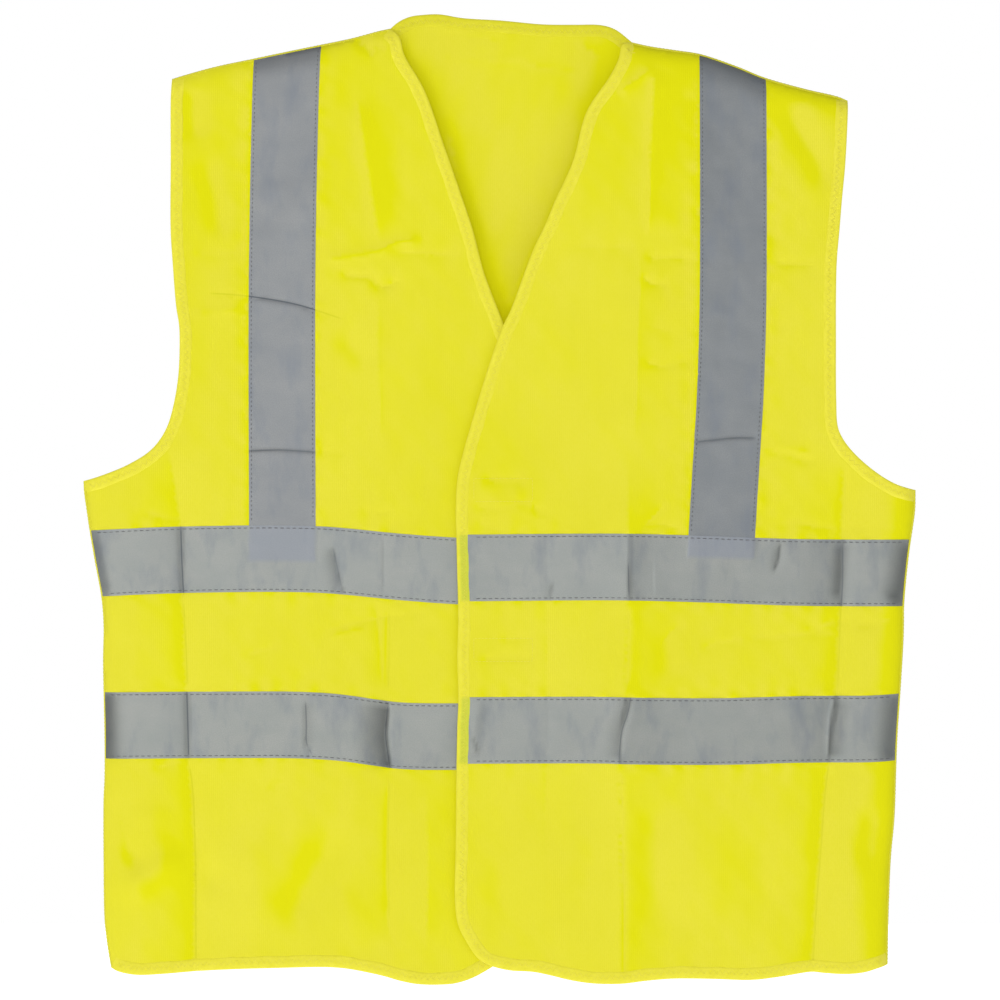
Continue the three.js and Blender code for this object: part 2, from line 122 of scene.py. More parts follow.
def spline(points, step):
    """A centripetal Catmull-Rom curve through the points, with a point every step mm."""
    p = np.array(points, float)
    p = np.vstack([2 * p[0] - p[1], p, 2 * p[-1] - p[-2]])
    out = []
    for i in range(1, len(p) - 2):
        a, b, c, d = p[i - 1], p[i], p[i + 1], p[i + 2]
        t0 = 0.0
        t1 = t0 + max(np.linalg.norm(b - a), 1e-6) ** 0.5
        t2 = t1 + max(np.linalg.norm(c - b), 1e-6) ** 0.5
        t3 = t2 + max(np.linalg.norm(d - c), 1e-6) ** 0.5
        t = np.linspace(t1, t2, 25)[:-1, None]
        a1 = (t1 - t) / (t1 - t0) * a + (t - t0) / (t1 - t0) * b
        a2 = (t2 - t) / (t2 - t1) * b + (t - t1) / (t2 - t1) * c
        a3 = (t3 - t) / (t3 - t2) * c + (t - t2) / (t3 - t2) * d
        b1 = (t2 - t) / (t2 - t0) * a1 + (t - t0) / (t2 - t0) * a2
        b2 = (t3 - t) / (t3 - t1) * a2 + (t - t1) / (t3 - t1) * a3
        out.append((t2 - t) / (t2 - t1) * b1 + (t - t1) / (t2 - t1) * b2)
    dense = np.vstack([*out, p[-2][None]])
    return evenly(dense, step)


def evenly(line, step):
    s = np.r_[0, np.cumsum(np.linalg.norm(np.diff(line, axis=0), axis=1))]
    n = max(2, int(round(s[-1] / step)) + 1)
    t = np.linspace(0, s[-1], n)
    return np.c_[np.interp(t, s, line[:, 0]), np.interp(t, s, line[:, 1])]


def lengths(line):
    return np.r_[0, np.cumsum(np.linalg.norm(np.diff(line, axis=0), axis=1))]


def normals(line, reach=2):
    """Unit normals to the left of the direction of travel, smoothed a little."""
    n = len(line)
    a = line[np.maximum(np.arange(n) - reach, 0)]
    b = line[np.minimum(np.arange(n) + reach, n - 1)]
    d = b - a
    d /= np.maximum(np.linalg.norm(d, axis=1, keepdims=True), 1e-9)
    return np.c_[-d[:, 1], d[:, 0]]


def nearest(points, line):
    """Distance to the line, which side (+1 to its left), and how far along it."""
    a, b = line[:-1], line[1:]
    d = b - a
    l2 = np.maximum((d**2).sum(1), 1e-9)
    s = lengths(line)
    dist, side, along = [], [], []
    for c in range(0, len(points), 4000):
        p = points[c : c + 4000]
        ap = p[:, None] - a[None]
        t = np.clip((ap * d).sum(-1) / l2, 0, 1)
        r = ap - t[..., None] * d
        q = (r**2).sum(-1)
        j = q.argmin(1)
        k = np.arange(len(p))
        dist.append(np.sqrt(q[k, j]))
        cr = d[j, 0] * ap[k, j, 1] - d[j, 1] * ap[k, j, 0]
        side.append(np.where(cr >= 0, 1.0, -1.0))
        along.append(s[j] + t[k, j] * np.sqrt(l2[j]))
    return np.concatenate(dist), np.concatenate(side), np.concatenate(along)


def inside(points, loop):
    a, b = loop, np.roll(loop, -1, axis=0)
    res = np.zeros(len(points), bool)
    for c in range(0, len(points), 8000):
        x, y = points[c : c + 8000, 0][:, None], points[c : c + 8000, 1][:, None]
        cond = (a[:, 1] > y) != (b[:, 1] > y)
        xi = (b[:, 0] - a[:, 0]) * (y - a[:, 1]) / np.where(b[:, 1] == a[:, 1], 1e-9, b[:, 1] - a[:, 1]) + a[:, 0]
        res[c : c + 8000] = (cond & (x < xi)).sum(1) % 2 == 1
    return res


def ease(t):
    t = np.clip(t, 0, 1)
    return t * t * (3 - 2 * t)


def waves(points, seed, wavelength, amount, stretch=(1.0, 1.0), count=9):
    """Smooth wandering waves of about that wavelength, mm, the same each run."""
    rng = np.random.default_rng(seed)
    out = np.zeros(len(points))
    for _ in range(count):
        a = rng.uniform(0, 2 * math.pi)
        k = 2 * math.pi / (wavelength * rng.uniform(0.65, 1.5))
        ph = rng.uniform(0, 2 * math.pi)
        out += np.sin(points[:, 0] * math.cos(a) * k * stretch[0] + points[:, 1] * math.sin(a) * k * stretch[1] + ph)
    return out * amount / math.sqrt(count)


# ---------------------------------------------------------------- edges

E = {}
for s_, q in (("left", (LEFT_SHOULDER, LEFT_ARMHOLE, LEFT_SIDE, LEFT_HEM + LEFT_FRONT[1:] + LEFT_NECK[1:])),
              ("right", (RIGHT_SHOULDER, RIGHT_ARMHOLE, RIGHT_SIDE, RIGHT_HEM + RIGHT_FRONT[1:] + RIGHT_NECK[1:]))):
    E[s_] = {
        "turn": -1.0 if s_ == "left" else 1.0,
        "shoulder": spline(q[0], 3.0), "armhole": spline(q[1], 3.0),
        "side": spline(q[2], 3.0), "bound": spline(q[3], 3.0),
        "points": q,
    }
BACK_NECK_LINE = spline(BACK_NECK, 3.0)
BACK_HEM_LINE = spline(BACK_HEM, 3.0)
FOLD = {"left": np.array(LEFT_FOLD, float), "right": np.array(RIGHT_FOLD, float)}



def into_flap(side):
    """A point on the fold, the way along it, and the way from it into the flap, as unit vectors."""
    a, b = FOLD[side]
    d = (b - a) / np.linalg.norm(b - a)
    n = np.array([-d[1], d[0]])
    if (n[0] > 0) == (side == "left"):
        n = -n
    return (a + b) / 2, d, n


# Creases: (kind, points, amount, width, reach or taper...). Amounts are mm towards the viewer.
# In some entries the last column also sets painted shade: a narrow line along the fold, and a wider shade on one side
# of it.
CREASES_SHARED = [
]
CREASES_LEFT = [
    ("tent", [[96.3, -439.9], [96.3, -467.0], [94.8, -504.6]], -0.61, 1.8, dict(taper=8)),
    ("tent", [[89.5, -561.7], [91.0, -579.8], [91.7, -624.9], [92.5, -662.5], [92.5, -716.7]], -0.72, 1.9, dict(fade_end=False, taper=14)),
    ("tent", [[257.2, -395.6], [257.2, -421.9], [255.7, -452.0], [253.4, -504.6]], -0.48, 1.8, dict(fold_line_shade=0.5, taper=12)),
    ("tent", [[246.7, -560.2], [243.6, -587.3], [241.4, -617.4], [238.4, -655.0], [234.6, -712.1]], -0.64, 1.9, dict(fold_line_shade=0.6, fade_end=False, taper=14)),
    ("tent", [[254.9, -512.1], [251.9, -527.2], [248.9, -542.2], [248.2, -555.7]], -0.64, 1.5, dict(taper=4)),
    ("bump", [[128.6, -459.5], [125.6, -474.5], [128.6, -500.8]], -0.72, 9, dict(taper=16)),
    ("bump", [[119.6, -579.8], [116.6, -624.9], [119.6, -692.6]], -0.88, 12, dict(taper=30)),
    ("tent", [[149.6, -474.5], [166.2, -468.5], [183.5, -467.0]], -0.64, 3, dict(taper=9)),
    ("tent", [[-0.8, -467.0], [14.3, -465.5], [26.3, -466.2]], -0.57, 2.6, dict(taper=6)),
    ("tent", [[-15.8, -482.0], [3.0, -479.8], [24.8, -481.3]], -0.64, 2.6, dict(taper=6)),
    ("tent", [[97.0, -325.6], [97.0, -361.7], [97.0, -391.8], [96.3, -429.4], [96.3, -467.0], [94.8, -506.1], [91.0, -522.6], [89.5, -558.0], [91.0, -579.8], [91.7, -624.9], [91.7, -718.9]], 2.72, 22, dict(fade_end=False, taper=60)),
    ("tent", [[260.9, -316.6], [258.7, -346.7], [257.2, -391.8], [257.2, -421.9], [254.9, -464.0], [252.7, -506.1], [248.9, -529.4], [247.4, -556.5], [245.9, -573.0], [242.1, -606.1], [239.9, -647.5], [236.1, -689.6], [233.9, -713.6]], -2.4, 15, dict(fade_end=False, taper=60)),
    ("saw", [[117.3, -35.3], [115.8, -60.9], [114.3, -93.2], [112.8, -128.6], [112.0, -164.7]], 1.52, 3, dict(ramp=30, side=1.0, taper=18)),
    ("step", [[95.5, -406.8], [96.3, -436.9]], -0.8, 3, dict(fold_line_shade=0.5, taper=10)),
    ("saw", [[97.8, -507.6], [95.5, -521.1], [91.0, -534.7], [89.5, -546.0], [88.7, -559.5]], -0.96, 2, dict(fold_line_shade=0.45, ramp=14, side=-1.0, taper=10, dim=0.45)),
    ("saw", [[251.9, -509.1], [249.7, -521.1], [248.2, -534.7], [247.4, -546.0], [247.4, -557.2]], 1.6, 1.8, dict(ramp=14, side=1.0, taper=6, dim=0.6)),
    ("bump", [[257.2, -392.5], [254.9, -414.4], [253.4, -436.9]], -0.64, 4.5, dict(taper=6, dim=0.45)),
    ("tent", [[209.8, -392.5], [209.1, -400.8], [208.3, -406.1], [204.5, -416.6]], -1.15, 2.6, dict(taper=8)),
    ("tent", [[38.4, -421.9], [37.6, -430.9], [36.8, -436.9]], -0.56, 1.6, dict(taper=4)),
    ("tent", [[34.6, -342.9], [35.3, -436.9], [36.1, -512.1], [34.6, -587.3], [33.8, -662.5]], -0.35, 6, dict(taper=60)),
    ("bump", [[307.6, -391.8], [304.6, -406.8], [299.3, -429.4], [292.5, -439.9]], -0.96, 7, dict(taper=8, dim=0.5)),
    ("bump", [[298.5, -506.1], [294.8, -534.7], [292.5, -558.7]], -0.96, 7, dict(taper=8, dim=0.4)),
    ("bump", [[282.8, -585.8], [278.2, -617.4], [274.5, -647.5]], -1.28, 9, dict(taper=22)),
    ("tent", [[105.3, -382.8], [113.6, -376.0], [121.1, -367.7], [125.6, -361.7]], -0.57, 3, dict(taper=9)),
    ("tent", [[98.5, -382.0], [119.6, -379.8], [142.1, -384.3]], -0.57, 3, dict(taper=12)),
    ("tent", [[192.5, -382.8], [217.3, -378.3], [248.9, -382.8], [292.5, -381.3]], -0.69, 4, dict(taper=25)),
    ("tent", [[223.3, -453.5], [238.4, -457.2], [254.9, -452.7], [277.5, -455.7], [299.3, -448.2]], -0.8, 3.4, dict(taper=18)),
    ("tent", [[176.0, -463.2], [206.0, -464.7], [236.1, -461.7], [262.4, -464.0]], -0.57, 3.4, dict(taper=18)),
    ("tent", [[121.1, -470.8], [128.6, -461.0], [140.6, -453.5]], -0.51, 3, dict(taper=9)),
    ("tent", [[106.8, -176.7], [113.6, -179.7], [128.6, -179.0], [147.4, -181.2]], -0.92, 3.2, dict(taper=10)),
    ("tent", [[200.0, -182.7], [221.1, -184.2], [242.1, -185.0]], -0.92, 3.2, dict(taper=12)),
    ("tent", [[106.0, -191.8], [109.8, -196.3], [115.8, -199.3], [128.6, -199.3]], -1.03, 3, dict(taper=6)),
    ("tent", [[104.5, -173.7], [105.3, -184.2], [106.0, -196.3], [103.8, -233.9], [103.0, -286.5], [101.5, -324.1]], 0.67, 9, dict(taper=30)),
    ("tent", [[87.2, -54.9], [98.5, -48.9], [109.0, -41.4], [117.3, -36.1]], 1.26, 4, dict(taper=8)),
    ("tent", [[104.5, -256.4], [112.0, -258.7], [119.6, -260.9], [134.6, -257.9], [147.4, -256.4]], -0.92, 3.4, dict(taper=10)),
    ("tent", [[104.5, -227.9], [123.3, -233.9], [142.1, -237.6]], -0.4, 7, dict(taper=14)),
    ("tent", [[196.3, -324.1], [213.6, -326.4], [228.6, -331.6], [241.4, -334.6]], -0.92, 3.2, dict(taper=12)),
    ("tent", [[199.3, -321.9], [217.3, -322.6], [233.9, -325.6]], 0.69, 3, dict(taper=10)),
    ("tent", [[-15.8, -345.2], [-0.8, -346.7], [21.8, -346.7]], -0.92, 2.6, dict(taper=9)),
    ("tent", [[44.4, -170.0], [74.4, -171.5], [104.5, -170.7]], -0.51, 5, dict(taper=18)),
    ("tent", [[74.4, -230.1], [104.5, -233.9]], -0.46, 5, dict(taper=12)),
    ("bump", [[212.8, -54.9], [224.8, -83.5], [238.4, -106.0], [245.9, -132.4]], -1.6, 10, dict(taper=22)),
    ("tent", [[257.2, -330.1], [260.9, -354.2], [265.5, -384.3]], -0.69, 5, dict(taper=20)),
    ("tent", [[60.9, -10.5], [74.4, -15.8], [87.2, -23.3]], -1.15, 4, dict(taper=9)),
    ("tent", [[149.6, -182.7], [173.7, -183.5], [197.0, -182.7]], -0.26, 1.8, dict(taper=9)),
    ("tent", [[145.9, -318.1], [160.2, -316.6], [174.5, -315.1], [193.3, -315.1]], -0.56, 1.6, dict(fold_line_shade=0.5, taper=4)),
    ("tent", [[148.1, -256.4], [159.4, -257.2], [174.5, -254.9], [185.0, -258.7]], -0.35, 1.5, dict(taper=9)),
    ("tent", [[159.4, -224.8], [167.7, -227.9], [177.5, -227.9]], -0.22, 1.6, dict(taper=7)),
    ("bump", [[-23.3, -346.7], [-0.8, -361.7], [21.8, -360.2]], 0.56, 10, dict(taper=10)),
    ("tent", [[-21.8, -365.5], [-0.8, -368.5], [14.3, -364.0], [24.8, -366.2]], -0.8, 3, dict(taper=10)),
    ("tent", [[24.1, -364.0], [27.8, -369.2], [33.8, -374.5]], -0.92, 2.2, dict(taper=5)),
    ("tent", [[-18.8, -376.8], [-6.8, -382.8], [8.3, -385.0]], -0.57, 3, dict(taper=8)),
    ("bump", [[149.6, -587.3], [152.7, -632.4], [149.6, -685.1]], 0.88, 22, dict(taper=45)),
    ("bump", [[44.4, -587.3], [48.9, -632.4], [44.4, -692.6]], 1.12, 26, dict(taper=45)),
    ("bump", [[-0.8, -617.4], [3.0, -662.5], [10.5, -700.1]], -0.96, 14, dict(taper=45)),
    ("bump", [[194.8, -587.3], [198.5, -647.5], [202.3, -700.1]], -0.72, 20, dict(taper=45)),
    ("bump", [[270.0, -602.4], [262.4, -647.5], [260.9, -700.1]], 0.88, 14, dict(taper=35)),
    ("bump", [[-15.8, -512.1], [-20.3, -534.7], [-18.8, -555.7]], 0.8, 5, dict(taper=8)),
    ("tent", [[-23.3, -538.4], [-18.8, -546.0], [-16.5, -555.0]], -0.56, 2, dict(taper=4)),
]
CREASES_RIGHT = [
    ("tent", [[-239.1, -438.4], [-237.6, -467.0], [-236.1, -501.6]], -0.54, 1.8, dict(fold_line_shade=0.7, taper=8)),
    ("tent", [[-234.6, -561.7], [-232.4, -579.8], [-230.9, -609.9], [-230.1, -644.5], [-230.1, -685.1], [-230.1, -716.7]], -0.72, 1.9, dict(fold_line_shade=0.8, fade_end=False, taper=12)),
    ("tent", [[-84.2, -441.4], [-84.2, -467.0], [-85.0, -504.6]], -0.42, 1.8, dict(fold_line_shade=0.4, taper=10)),
    ("tent", [[-84.2, -572.3], [-85.0, -624.9], [-84.2, -678.3]], -0.45, 1.8, dict(fold_line_shade=0.4, taper=14)),
    ("tent", [[-264.0, -564.8], [-252.7, -561.7], [-239.9, -558.7]], -0.6, 3, dict(taper=9)),
    ("tent", [[-134.6, -467.0], [-117.3, -461.0], [-101.5, -458.0]], 0.64, 3, dict(taper=12)),
    ("tent", [[-286.5, -579.8], [-283.5, -609.9], [-279.0, -632.4]], -0.72, 8, dict(taper=16)),
    ("tent", [[-250.4, -316.6], [-245.2, -346.7], [-240.6, -381.3], [-239.9, -406.8], [-239.9, -432.4], [-236.9, -467.7], [-236.1, -512.1], [-235.4, -555.7], [-233.1, -572.3], [-230.9, -609.9], [-230.1, -644.5], [-230.1, -685.1], [-230.1, -721.2]], -2.56, 17, dict(fade_end=False, taper=45)),
    ("saw", [[-85.0, -514.4], [-86.5, -527.2], [-87.2, -538.4], [-85.7, -551.2], [-83.5, -564.0]], -2.75, 1.4, dict(fold_line_shade=0.5, ramp=28, side=-1.0, taper=5, dim=0.75)),
    ("tent", [[-85.0, -439.9], [-85.0, -474.5], [-85.0, -504.6]], -0.48, 7, dict(taper=25)),
    ("tent", [[-85.0, -567.8], [-85.0, -624.9], [-85.0, -678.3], [-79.0, -696.4], [-70.7, -706.1]], -0.72, 9, dict(taper=35)),
    ("tent", [[-54.9, -574.5], [-53.4, -640.0], [-54.9, -706.9]], 0.8, 13, dict(taper=35)),
    ("tent", [[-88.0, -388.0], [-88.0, -414.4], [-88.0, -432.4]], -0.32, 1.4, dict(taper=6)),
    ("saw", [[-127.1, -395.6], [-124.8, -405.3], [-122.6, -415.9], [-119.6, -429.4]], -0.8, 2, dict(fold_line_shade=0.25, ramp=13, side=-1.0, taper=22, dim=0.5)),
    ("tent", [[-128.6, -430.9], [-122.6, -426.4], [-116.6, -432.4]], -0.56, 1.8, dict(taper=4)),
    ("tent", [[-241.4, -379.8], [-240.6, -406.8], [-239.1, -435.4]], -0.99, 1.5, dict(fold_line_shade=0.8, taper=3)),
    ("tent", [[-236.9, -504.6], [-236.1, -530.9], [-235.4, -557.2]], -0.99, 1.5, dict(fold_line_shade=0.8, taper=3)),
    ("saw", [[-147.4, -512.1], [-146.6, -530.2], [-146.6, -543.7], [-145.1, -549.7]], -0.72, 1.6, dict(fold_line_shade=0.5, ramp=10, side=1.0, taper=8, dim=0.25)),
    ("tent", [[-148.1, -542.2], [-145.1, -547.5], [-142.1, -554.2]], -0.8, 1.6, dict(fold_line_shade=0.5, taper=3)),
    ("bump", [[-296.3, -504.6], [-295.5, -534.7], [-294.8, -563.2]], -1.12, 8, dict(taper=8, dim=0.55)),
    ("bump", [[-309.8, -385.0], [-304.6, -406.8], [-297.0, -433.2]], -0.64, 4, dict(taper=8, dim=0.15)),
    ("bump", [[-166.2, -689.6], [-158.7, -676.0], [-151.9, -664.8], [-142.1, -647.5], [-135.4, -633.9], [-127.1, -619.6], [-117.3, -598.6]], -2.5, 14, dict(taper=36)),
    ("bump", [[-292.5, -666.3], [-275.2, -651.2], [-256.4, -638.4], [-236.9, -623.4]], 3.12, 13, dict(taper=24)),
    ("bump", [[-286.5, -638.4], [-278.2, -633.9], [-264.0, -624.9]], -2.4, 12, dict(taper=18)),
    ("bump", [[-222.6, -624.9], [-219.6, -639.2], [-209.8, -666.3]], -2.24, 11, dict(taper=26)),
    ("bump", [[-196.3, -602.4], [-188.8, -647.5], [-179.7, -700.1]], 1.44, 20, dict(taper=40)),
    ("bump", [[-117.3, -647.5], [-112.0, -677.6], [-106.0, -703.9]], 0.96, 16, dict(taper=28)),
    ("tent", [[-134.6, -181.2], [-113.6, -178.2], [-91.0, -173.7], [-80.5, -168.4], [-68.4, -166.2], [-57.9, -164.7]], 1.15, 3, dict(taper=10)),
    ("tent", [[-88.0, -174.5], [-60.9, -175.2], [-28.6, -177.5]], -0.64, 3, dict(taper=16)),
    ("tent", [[-122.6, -191.0], [-109.0, -193.3], [-96.3, -194.8], [-92.5, -200.8], [-86.5, -200.8], [-72.9, -194.0]], -1.26, 2.6, dict(taper=9)),
    ("tent", [[-233.1, -221.1], [-211.3, -219.6], [-191.0, -218.1]], 0.57, 2.4, dict(taper=9)),
    ("tent", [[-233.1, -175.2], [-215.1, -176.0], [-192.5, -175.2]], -0.41, 3, dict(taper=9)),
    ("tent", [[-139.1, -324.9], [-124.8, -325.6], [-112.0, -327.1]], -0.57, 2.2, dict(taper=7)),
    ("bump", [[-122.6, -233.1], [-107.5, -248.9], [-94.0, -265.5]], -0.88, 9, dict(taper=16)),
    ("tent", [[-91.0, -203.8], [-91.0, -241.4], [-90.2, -286.5], [-89.5, -324.1]], 0.45, 6, dict(taper=30)),
    ("bump", [[-109.0, -14.3], [-103.0, -20.3], [-94.0, -25.6]], -1.03, 3, dict(taper=5)),
    ("bump", [[-229.4, -48.9], [-232.4, -68.4], [-229.4, -92.5]], -1.52, 9, dict(taper=12)),
    ("bump", [[-222.6, -98.5], [-215.8, -136.1], [-209.8, -166.2]], -0.72, 8, dict(taper=18)),
    ("saw", [[-107.5, -54.9], [-101.5, -94.8], [-95.5, -132.4], [-88.7, -170.7]], 1.76, 4, dict(ramp=26, side=1.0, taper=30)),
    ("tent", [[-138.4, -462.5], [-117.3, -456.5], [-96.3, -451.2], [-76.0, -448.2], [-51.1, -445.9]], -0.8, 3.4, dict(taper=25)),
    ("tent", [[-197.0, -479.0], [-179.7, -475.3], [-163.2, -470.8]], -0.57, 2.6, dict(taper=12)),
    ("tent", [[-273.0, -368.5], [-252.7, -374.5], [-233.9, -376.8]], -0.69, 4, dict(taper=12)),
    ("tent", [[-107.5, -370.0], [-92.5, -371.5], [-79.0, -370.0]], -0.57, 3, dict(taper=9)),
    ("tent", [[-174.5, -578.3], [-166.2, -576.0], [-160.2, -573.8]], -0.57, 2.2, dict(taper=5)),
    ("tent", [[-110.5, -14.3], [-97.0, -18.0], [-85.0, -23.3]], -0.92, 4, dict(taper=10)),
    ("tent", [[-220.3, -206.0], [-205.3, -206.8], [-189.5, -208.3], [-164.7, -212.1], [-151.2, -215.1], [-139.1, -218.8], [-118.8, -225.6]], -0.58, 1.6, dict(fold_line_shade=0.85, taper=14)),
    ("tent", [[-191.8, -324.9], [-177.5, -324.1], [-164.7, -324.1], [-137.6, -325.6]], -0.56, 1.6, dict(fold_line_shade=0.55, taper=4)),
    ("tent", [[-158.7, -76.7], [-148.9, -74.4], [-139.1, -73.7]], -0.19, 1.2, dict(taper=7)),
    ("bump", [[-172.2, -79.7], [-163.2, -98.5], [-151.2, -136.1]], -0.19, 9, dict(taper=18)),
    ("bump", [[-203.8, -166.2], [-200.8, -233.9], [-197.8, -301.6]], 0.8, 14, dict(taper=45)),
    ("tent", [[-94.8, -433.9], [-91.0, -467.0], [-88.7, -504.6]], -0.46, 5, dict(taper=18)),
    ("bump", [[-294.0, -452.0], [-292.5, -474.5], [-291.0, -500.8]], -0.8, 9, dict(taper=18)),
    ("bump", [[-264.0, -587.3], [-262.4, -617.4], [-260.2, -632.4]], 0.8, 13, dict(taper=15)),
]
CREASES_BACK = [
    ("tent", [[-128.6, -211.3], [-76.0, -215.8], [-23.3, -211.3], [44.4, -214.3], [104.5, -209.8]], -0.8, 4, dict(taper=20)),
    ("tent", [[-91.0, -301.6], [-45.9, -297.0], [-0.8, -301.6]], -0.92, 3.4, dict(taper=14)),
    ("tent", [[44.4, -325.6], [89.5, -330.1], [142.1, -324.1]], 0.92, 3.4, dict(taper=14)),
    ("tent", [[-241.4, -211.3], [-211.3, -215.8], [-193.3, -211.3]], -0.92, 3, dict(taper=10)),
    ("tent", [[202.3, -196.3], [224.8, -200.8], [247.4, -196.3]], -0.92, 3, dict(taper=10)),
    ("tent", [[-188.8, -467.0], [-151.2, -461.0], [-106.0, -467.0]], -0.92, 3.4, dict(taper=14)),
    ("tent", [[74.4, -467.0], [119.6, -473.0], [164.7, -467.0]], -0.92, 3.4, dict(taper=14)),
    ("bump", [[-203.8, -587.3], [-181.2, -640.0], [-188.8, -700.1]], 1.28, 20, dict(taper=40)),
    ("bump", [[202.3, -587.3], [187.2, -640.0], [194.8, -700.1]], -1.44, 22, dict(taper=40)),
    ("bump", [[-5.3, -68.4], [-8.3, -106.0], [-8.3, -136.1], [-5.3, -170.0]], -0.88, 17, dict(taper=45)),
    ("tent", [[-39.1, -72.9], [-33.8, -106.0], [-28.6, -138.4]], 0.64, 6, dict(taper=22)),
    ("bump", [[41.4, -27.8], [51.9, -45.9], [62.4, -68.4]], -0.8, 12, dict(taper=20)),
    ("tent", [[57.2, -16.5], [68.4, -21.1], [79.7, -27.1]], 0.8, 3.2, dict(taper=7)),
    ("tent", [[14.3, -30.8], [36.8, -35.3], [59.4, -36.8]], 0.51, 2.6, dict(taper=14)),
    ("tent", [[-53.4, -12.8], [-26.3, -10.5], [2.3, -15.8]], 0.51, 2.6, dict(taper=14)),
    ("tent", [[-45.9, -24.8], [-15.8, -29.3], [21.8, -30.8]], -0.46, 3, dict(taper=14)),
    ("tent", [[-151.2, -30.8], [-151.2, -211.3], [-149.6, -436.9], [-151.2, -722.7]], 1.44, 17, dict(fade_end=False, taper=60)),
    ("tent", [[149.6, -30.8], [148.1, -211.3], [149.6, -436.9], [151.2, -722.7]], -1.44, 17, dict(fade_end=False, taper=60)),
    ("tent", [[3.0, -286.5], [1.5, -361.7], [3.0, -436.9], [1.5, -722.7]], 1.12, 20, dict(fade_end=False, taper=60)),
    ("tent", [[-294.0, -320.4], [-151.2, -323.4], [-0.8, -321.1], [149.6, -322.6], [292.5, -320.4]], -0.88, 9, dict(taper=60)),
    ("bump", [[-76.0, -587.3], [-53.4, -647.5], [-38.4, -715.2]], 1.92, 26, dict(fade_end=False, taper=60)),
    ("bump", [[74.4, -587.3], [82.0, -647.5], [66.9, -715.2]], -1.6, 24, dict(fade_end=False, taper=60)),
]
TAPE_END = {"left": -405.328, "right": -408.336}
TAPE_FOLDS = {"leftleft": (-315.84,), "rightright": (-324.864, -213.568)}


def crease_sum(points, creases):
    out = np.zeros(len(points))
    for kind, line, amount, width, extra in creases:
        line = np.array(line, float)
        reach = max(width * 5, extra.get("ramp", 0)) + 4
        lo, hi = line.min(0) - reach, line.max(0) + reach
        m = np.all((points > lo) & (points < hi), axis=1)
        if not m.any():
            continue
        line = spline(line, 4.0) if len(line) > 2 else evenly(line, 6.0)
        d, side, along = nearest(points[m], line)
        total = lengths(line)[-1]
        taper = extra.get("taper", 14.0)
        k = np.ones(len(d))
        if extra.get("fade_start", True):
            k *= ease(along / taper)
        if extra.get("fade_end", True):
            k *= ease((total - along) / taper)
        if kind == "tent":
            v = np.exp(-d / width)
        elif kind == "bump":
            v = np.exp(-((d / width) ** 2))
        elif kind == "step":
            v = side * (1 - np.exp(-d / width)) * np.exp(-d / (width * 4))
        else:  # saw: a slow ramp on one side of the line and a sharp return on the other
            ramp = extra["ramp"]
            v = np.where(side == extra["side"], np.clip(1 - d / ramp, 0, 1) ** 2, np.exp(-d / width))
        out[m] += amount * k * v
    return out


def folds_in(which, points):
    """How much painted shade a point gets, 0 to 1: a narrow line along each sharp fold, and a wider shade on one side
    of folds given a dim value.
    """
    lists = {"left": CREASES_SHARED + CREASES_LEFT, "right": CREASES_SHARED + CREASES_RIGHT, "back": CREASES_BACK}[which]
    out = np.zeros(len(points))
    for kind, line, amount, width, extra in lists:
        dim = extra.get("dim", 0.0)
        if not dim and (kind == "bump" or abs(amount) < 0.5):
            continue
        line = np.array(line, float)
        reach = max(6.0, extra.get("ramp", 0.0), width * 3 if dim else 0.0)
        m = np.all((points > line.min(0) - reach) & (points < line.max(0) + reach), axis=1)
        if not m.any():
            continue
        line = spline(line, 4.0) if len(line) > 2 else evenly(line, 6.0)
        d, side, along = nearest(points[m], line)
        total = lengths(line)[-1]
        k = ease(along / 6.0) * ease((total - along) / 6.0)
        if kind != "bump":
            sharp = k * min(1.0, 0.35 + 0.3 * abs(amount)) * (1.0 if width < 6 else 0.45)
            sharp = sharp * (0.45 if "fold_line_shade" in extra else 1.0)
            out[m] = np.maximum(out[m], sharp * np.exp(-((d / 1.25) ** 2)))
        if dim and kind == "saw":
            out[m] = np.maximum(out[m], k * dim * (side == extra["side"]) * np.clip(1 - d / extra["ramp"], 0, 1) ** 1.6)
        elif dim:
            out[m] = np.maximum(out[m], k * dim * np.exp(-((d / width) ** 2)))
    return out


def fold_line_shade_in(which, points):
    """Signed distance, mm, to the nearest fold line that gets a painted line of shade in the cloth or a tape, and how
    strong that shade is, 0 to 1.
    """
    lists = {"left": CREASES_SHARED + CREASES_LEFT, "right": CREASES_SHARED + CREASES_RIGHT, "back": CREASES_BACK}[which]
    fold_line_offset = np.full(len(points), 12.0)
    fold_line_shade = np.zeros(len(points))
    for kind, line, amount, width, extra in lists:
        if "fold_line_shade" not in extra:
            continue
        line = np.array(line, float)
        here = np.flatnonzero(np.all((points > line.min(0) - 11) & (points < line.max(0) + 11), axis=1))
        if not len(here):
            continue
        line = spline(line, 3.0) if len(line) > 2 else evenly(line, 3.0)
        d, side, along = nearest(points[here], line)
        total = lengths(line)[-1]
        k = extra["fold_line_shade"] * ease(along / 5.0) * ease((total - along) / 5.0) * ease((5.6 - d) / 1.8)
        closer = d < np.abs(fold_line_offset[here])
        fold_line_offset[here[closer]] = (d * side)[closer]
        fold_line_shade[here[closer]] = k[closer]
    return fold_line_offset, fold_line_shade


# ---------------------------------------------------------------- the height of each layer
# Each gives y, mm, of the middle of the cloth at points [x, z].


def seams_of(side, points):
    e = E[side]
    d1 = nearest(points, e["side"][::2])[0]
    d2 = nearest(points, e["shoulder"][::2])[0]
    return d1, d2


def band_y(line, x):
    q = BAND_SPLINES[line]
    return np.interp(x, q[:, 0], q[:, 1])


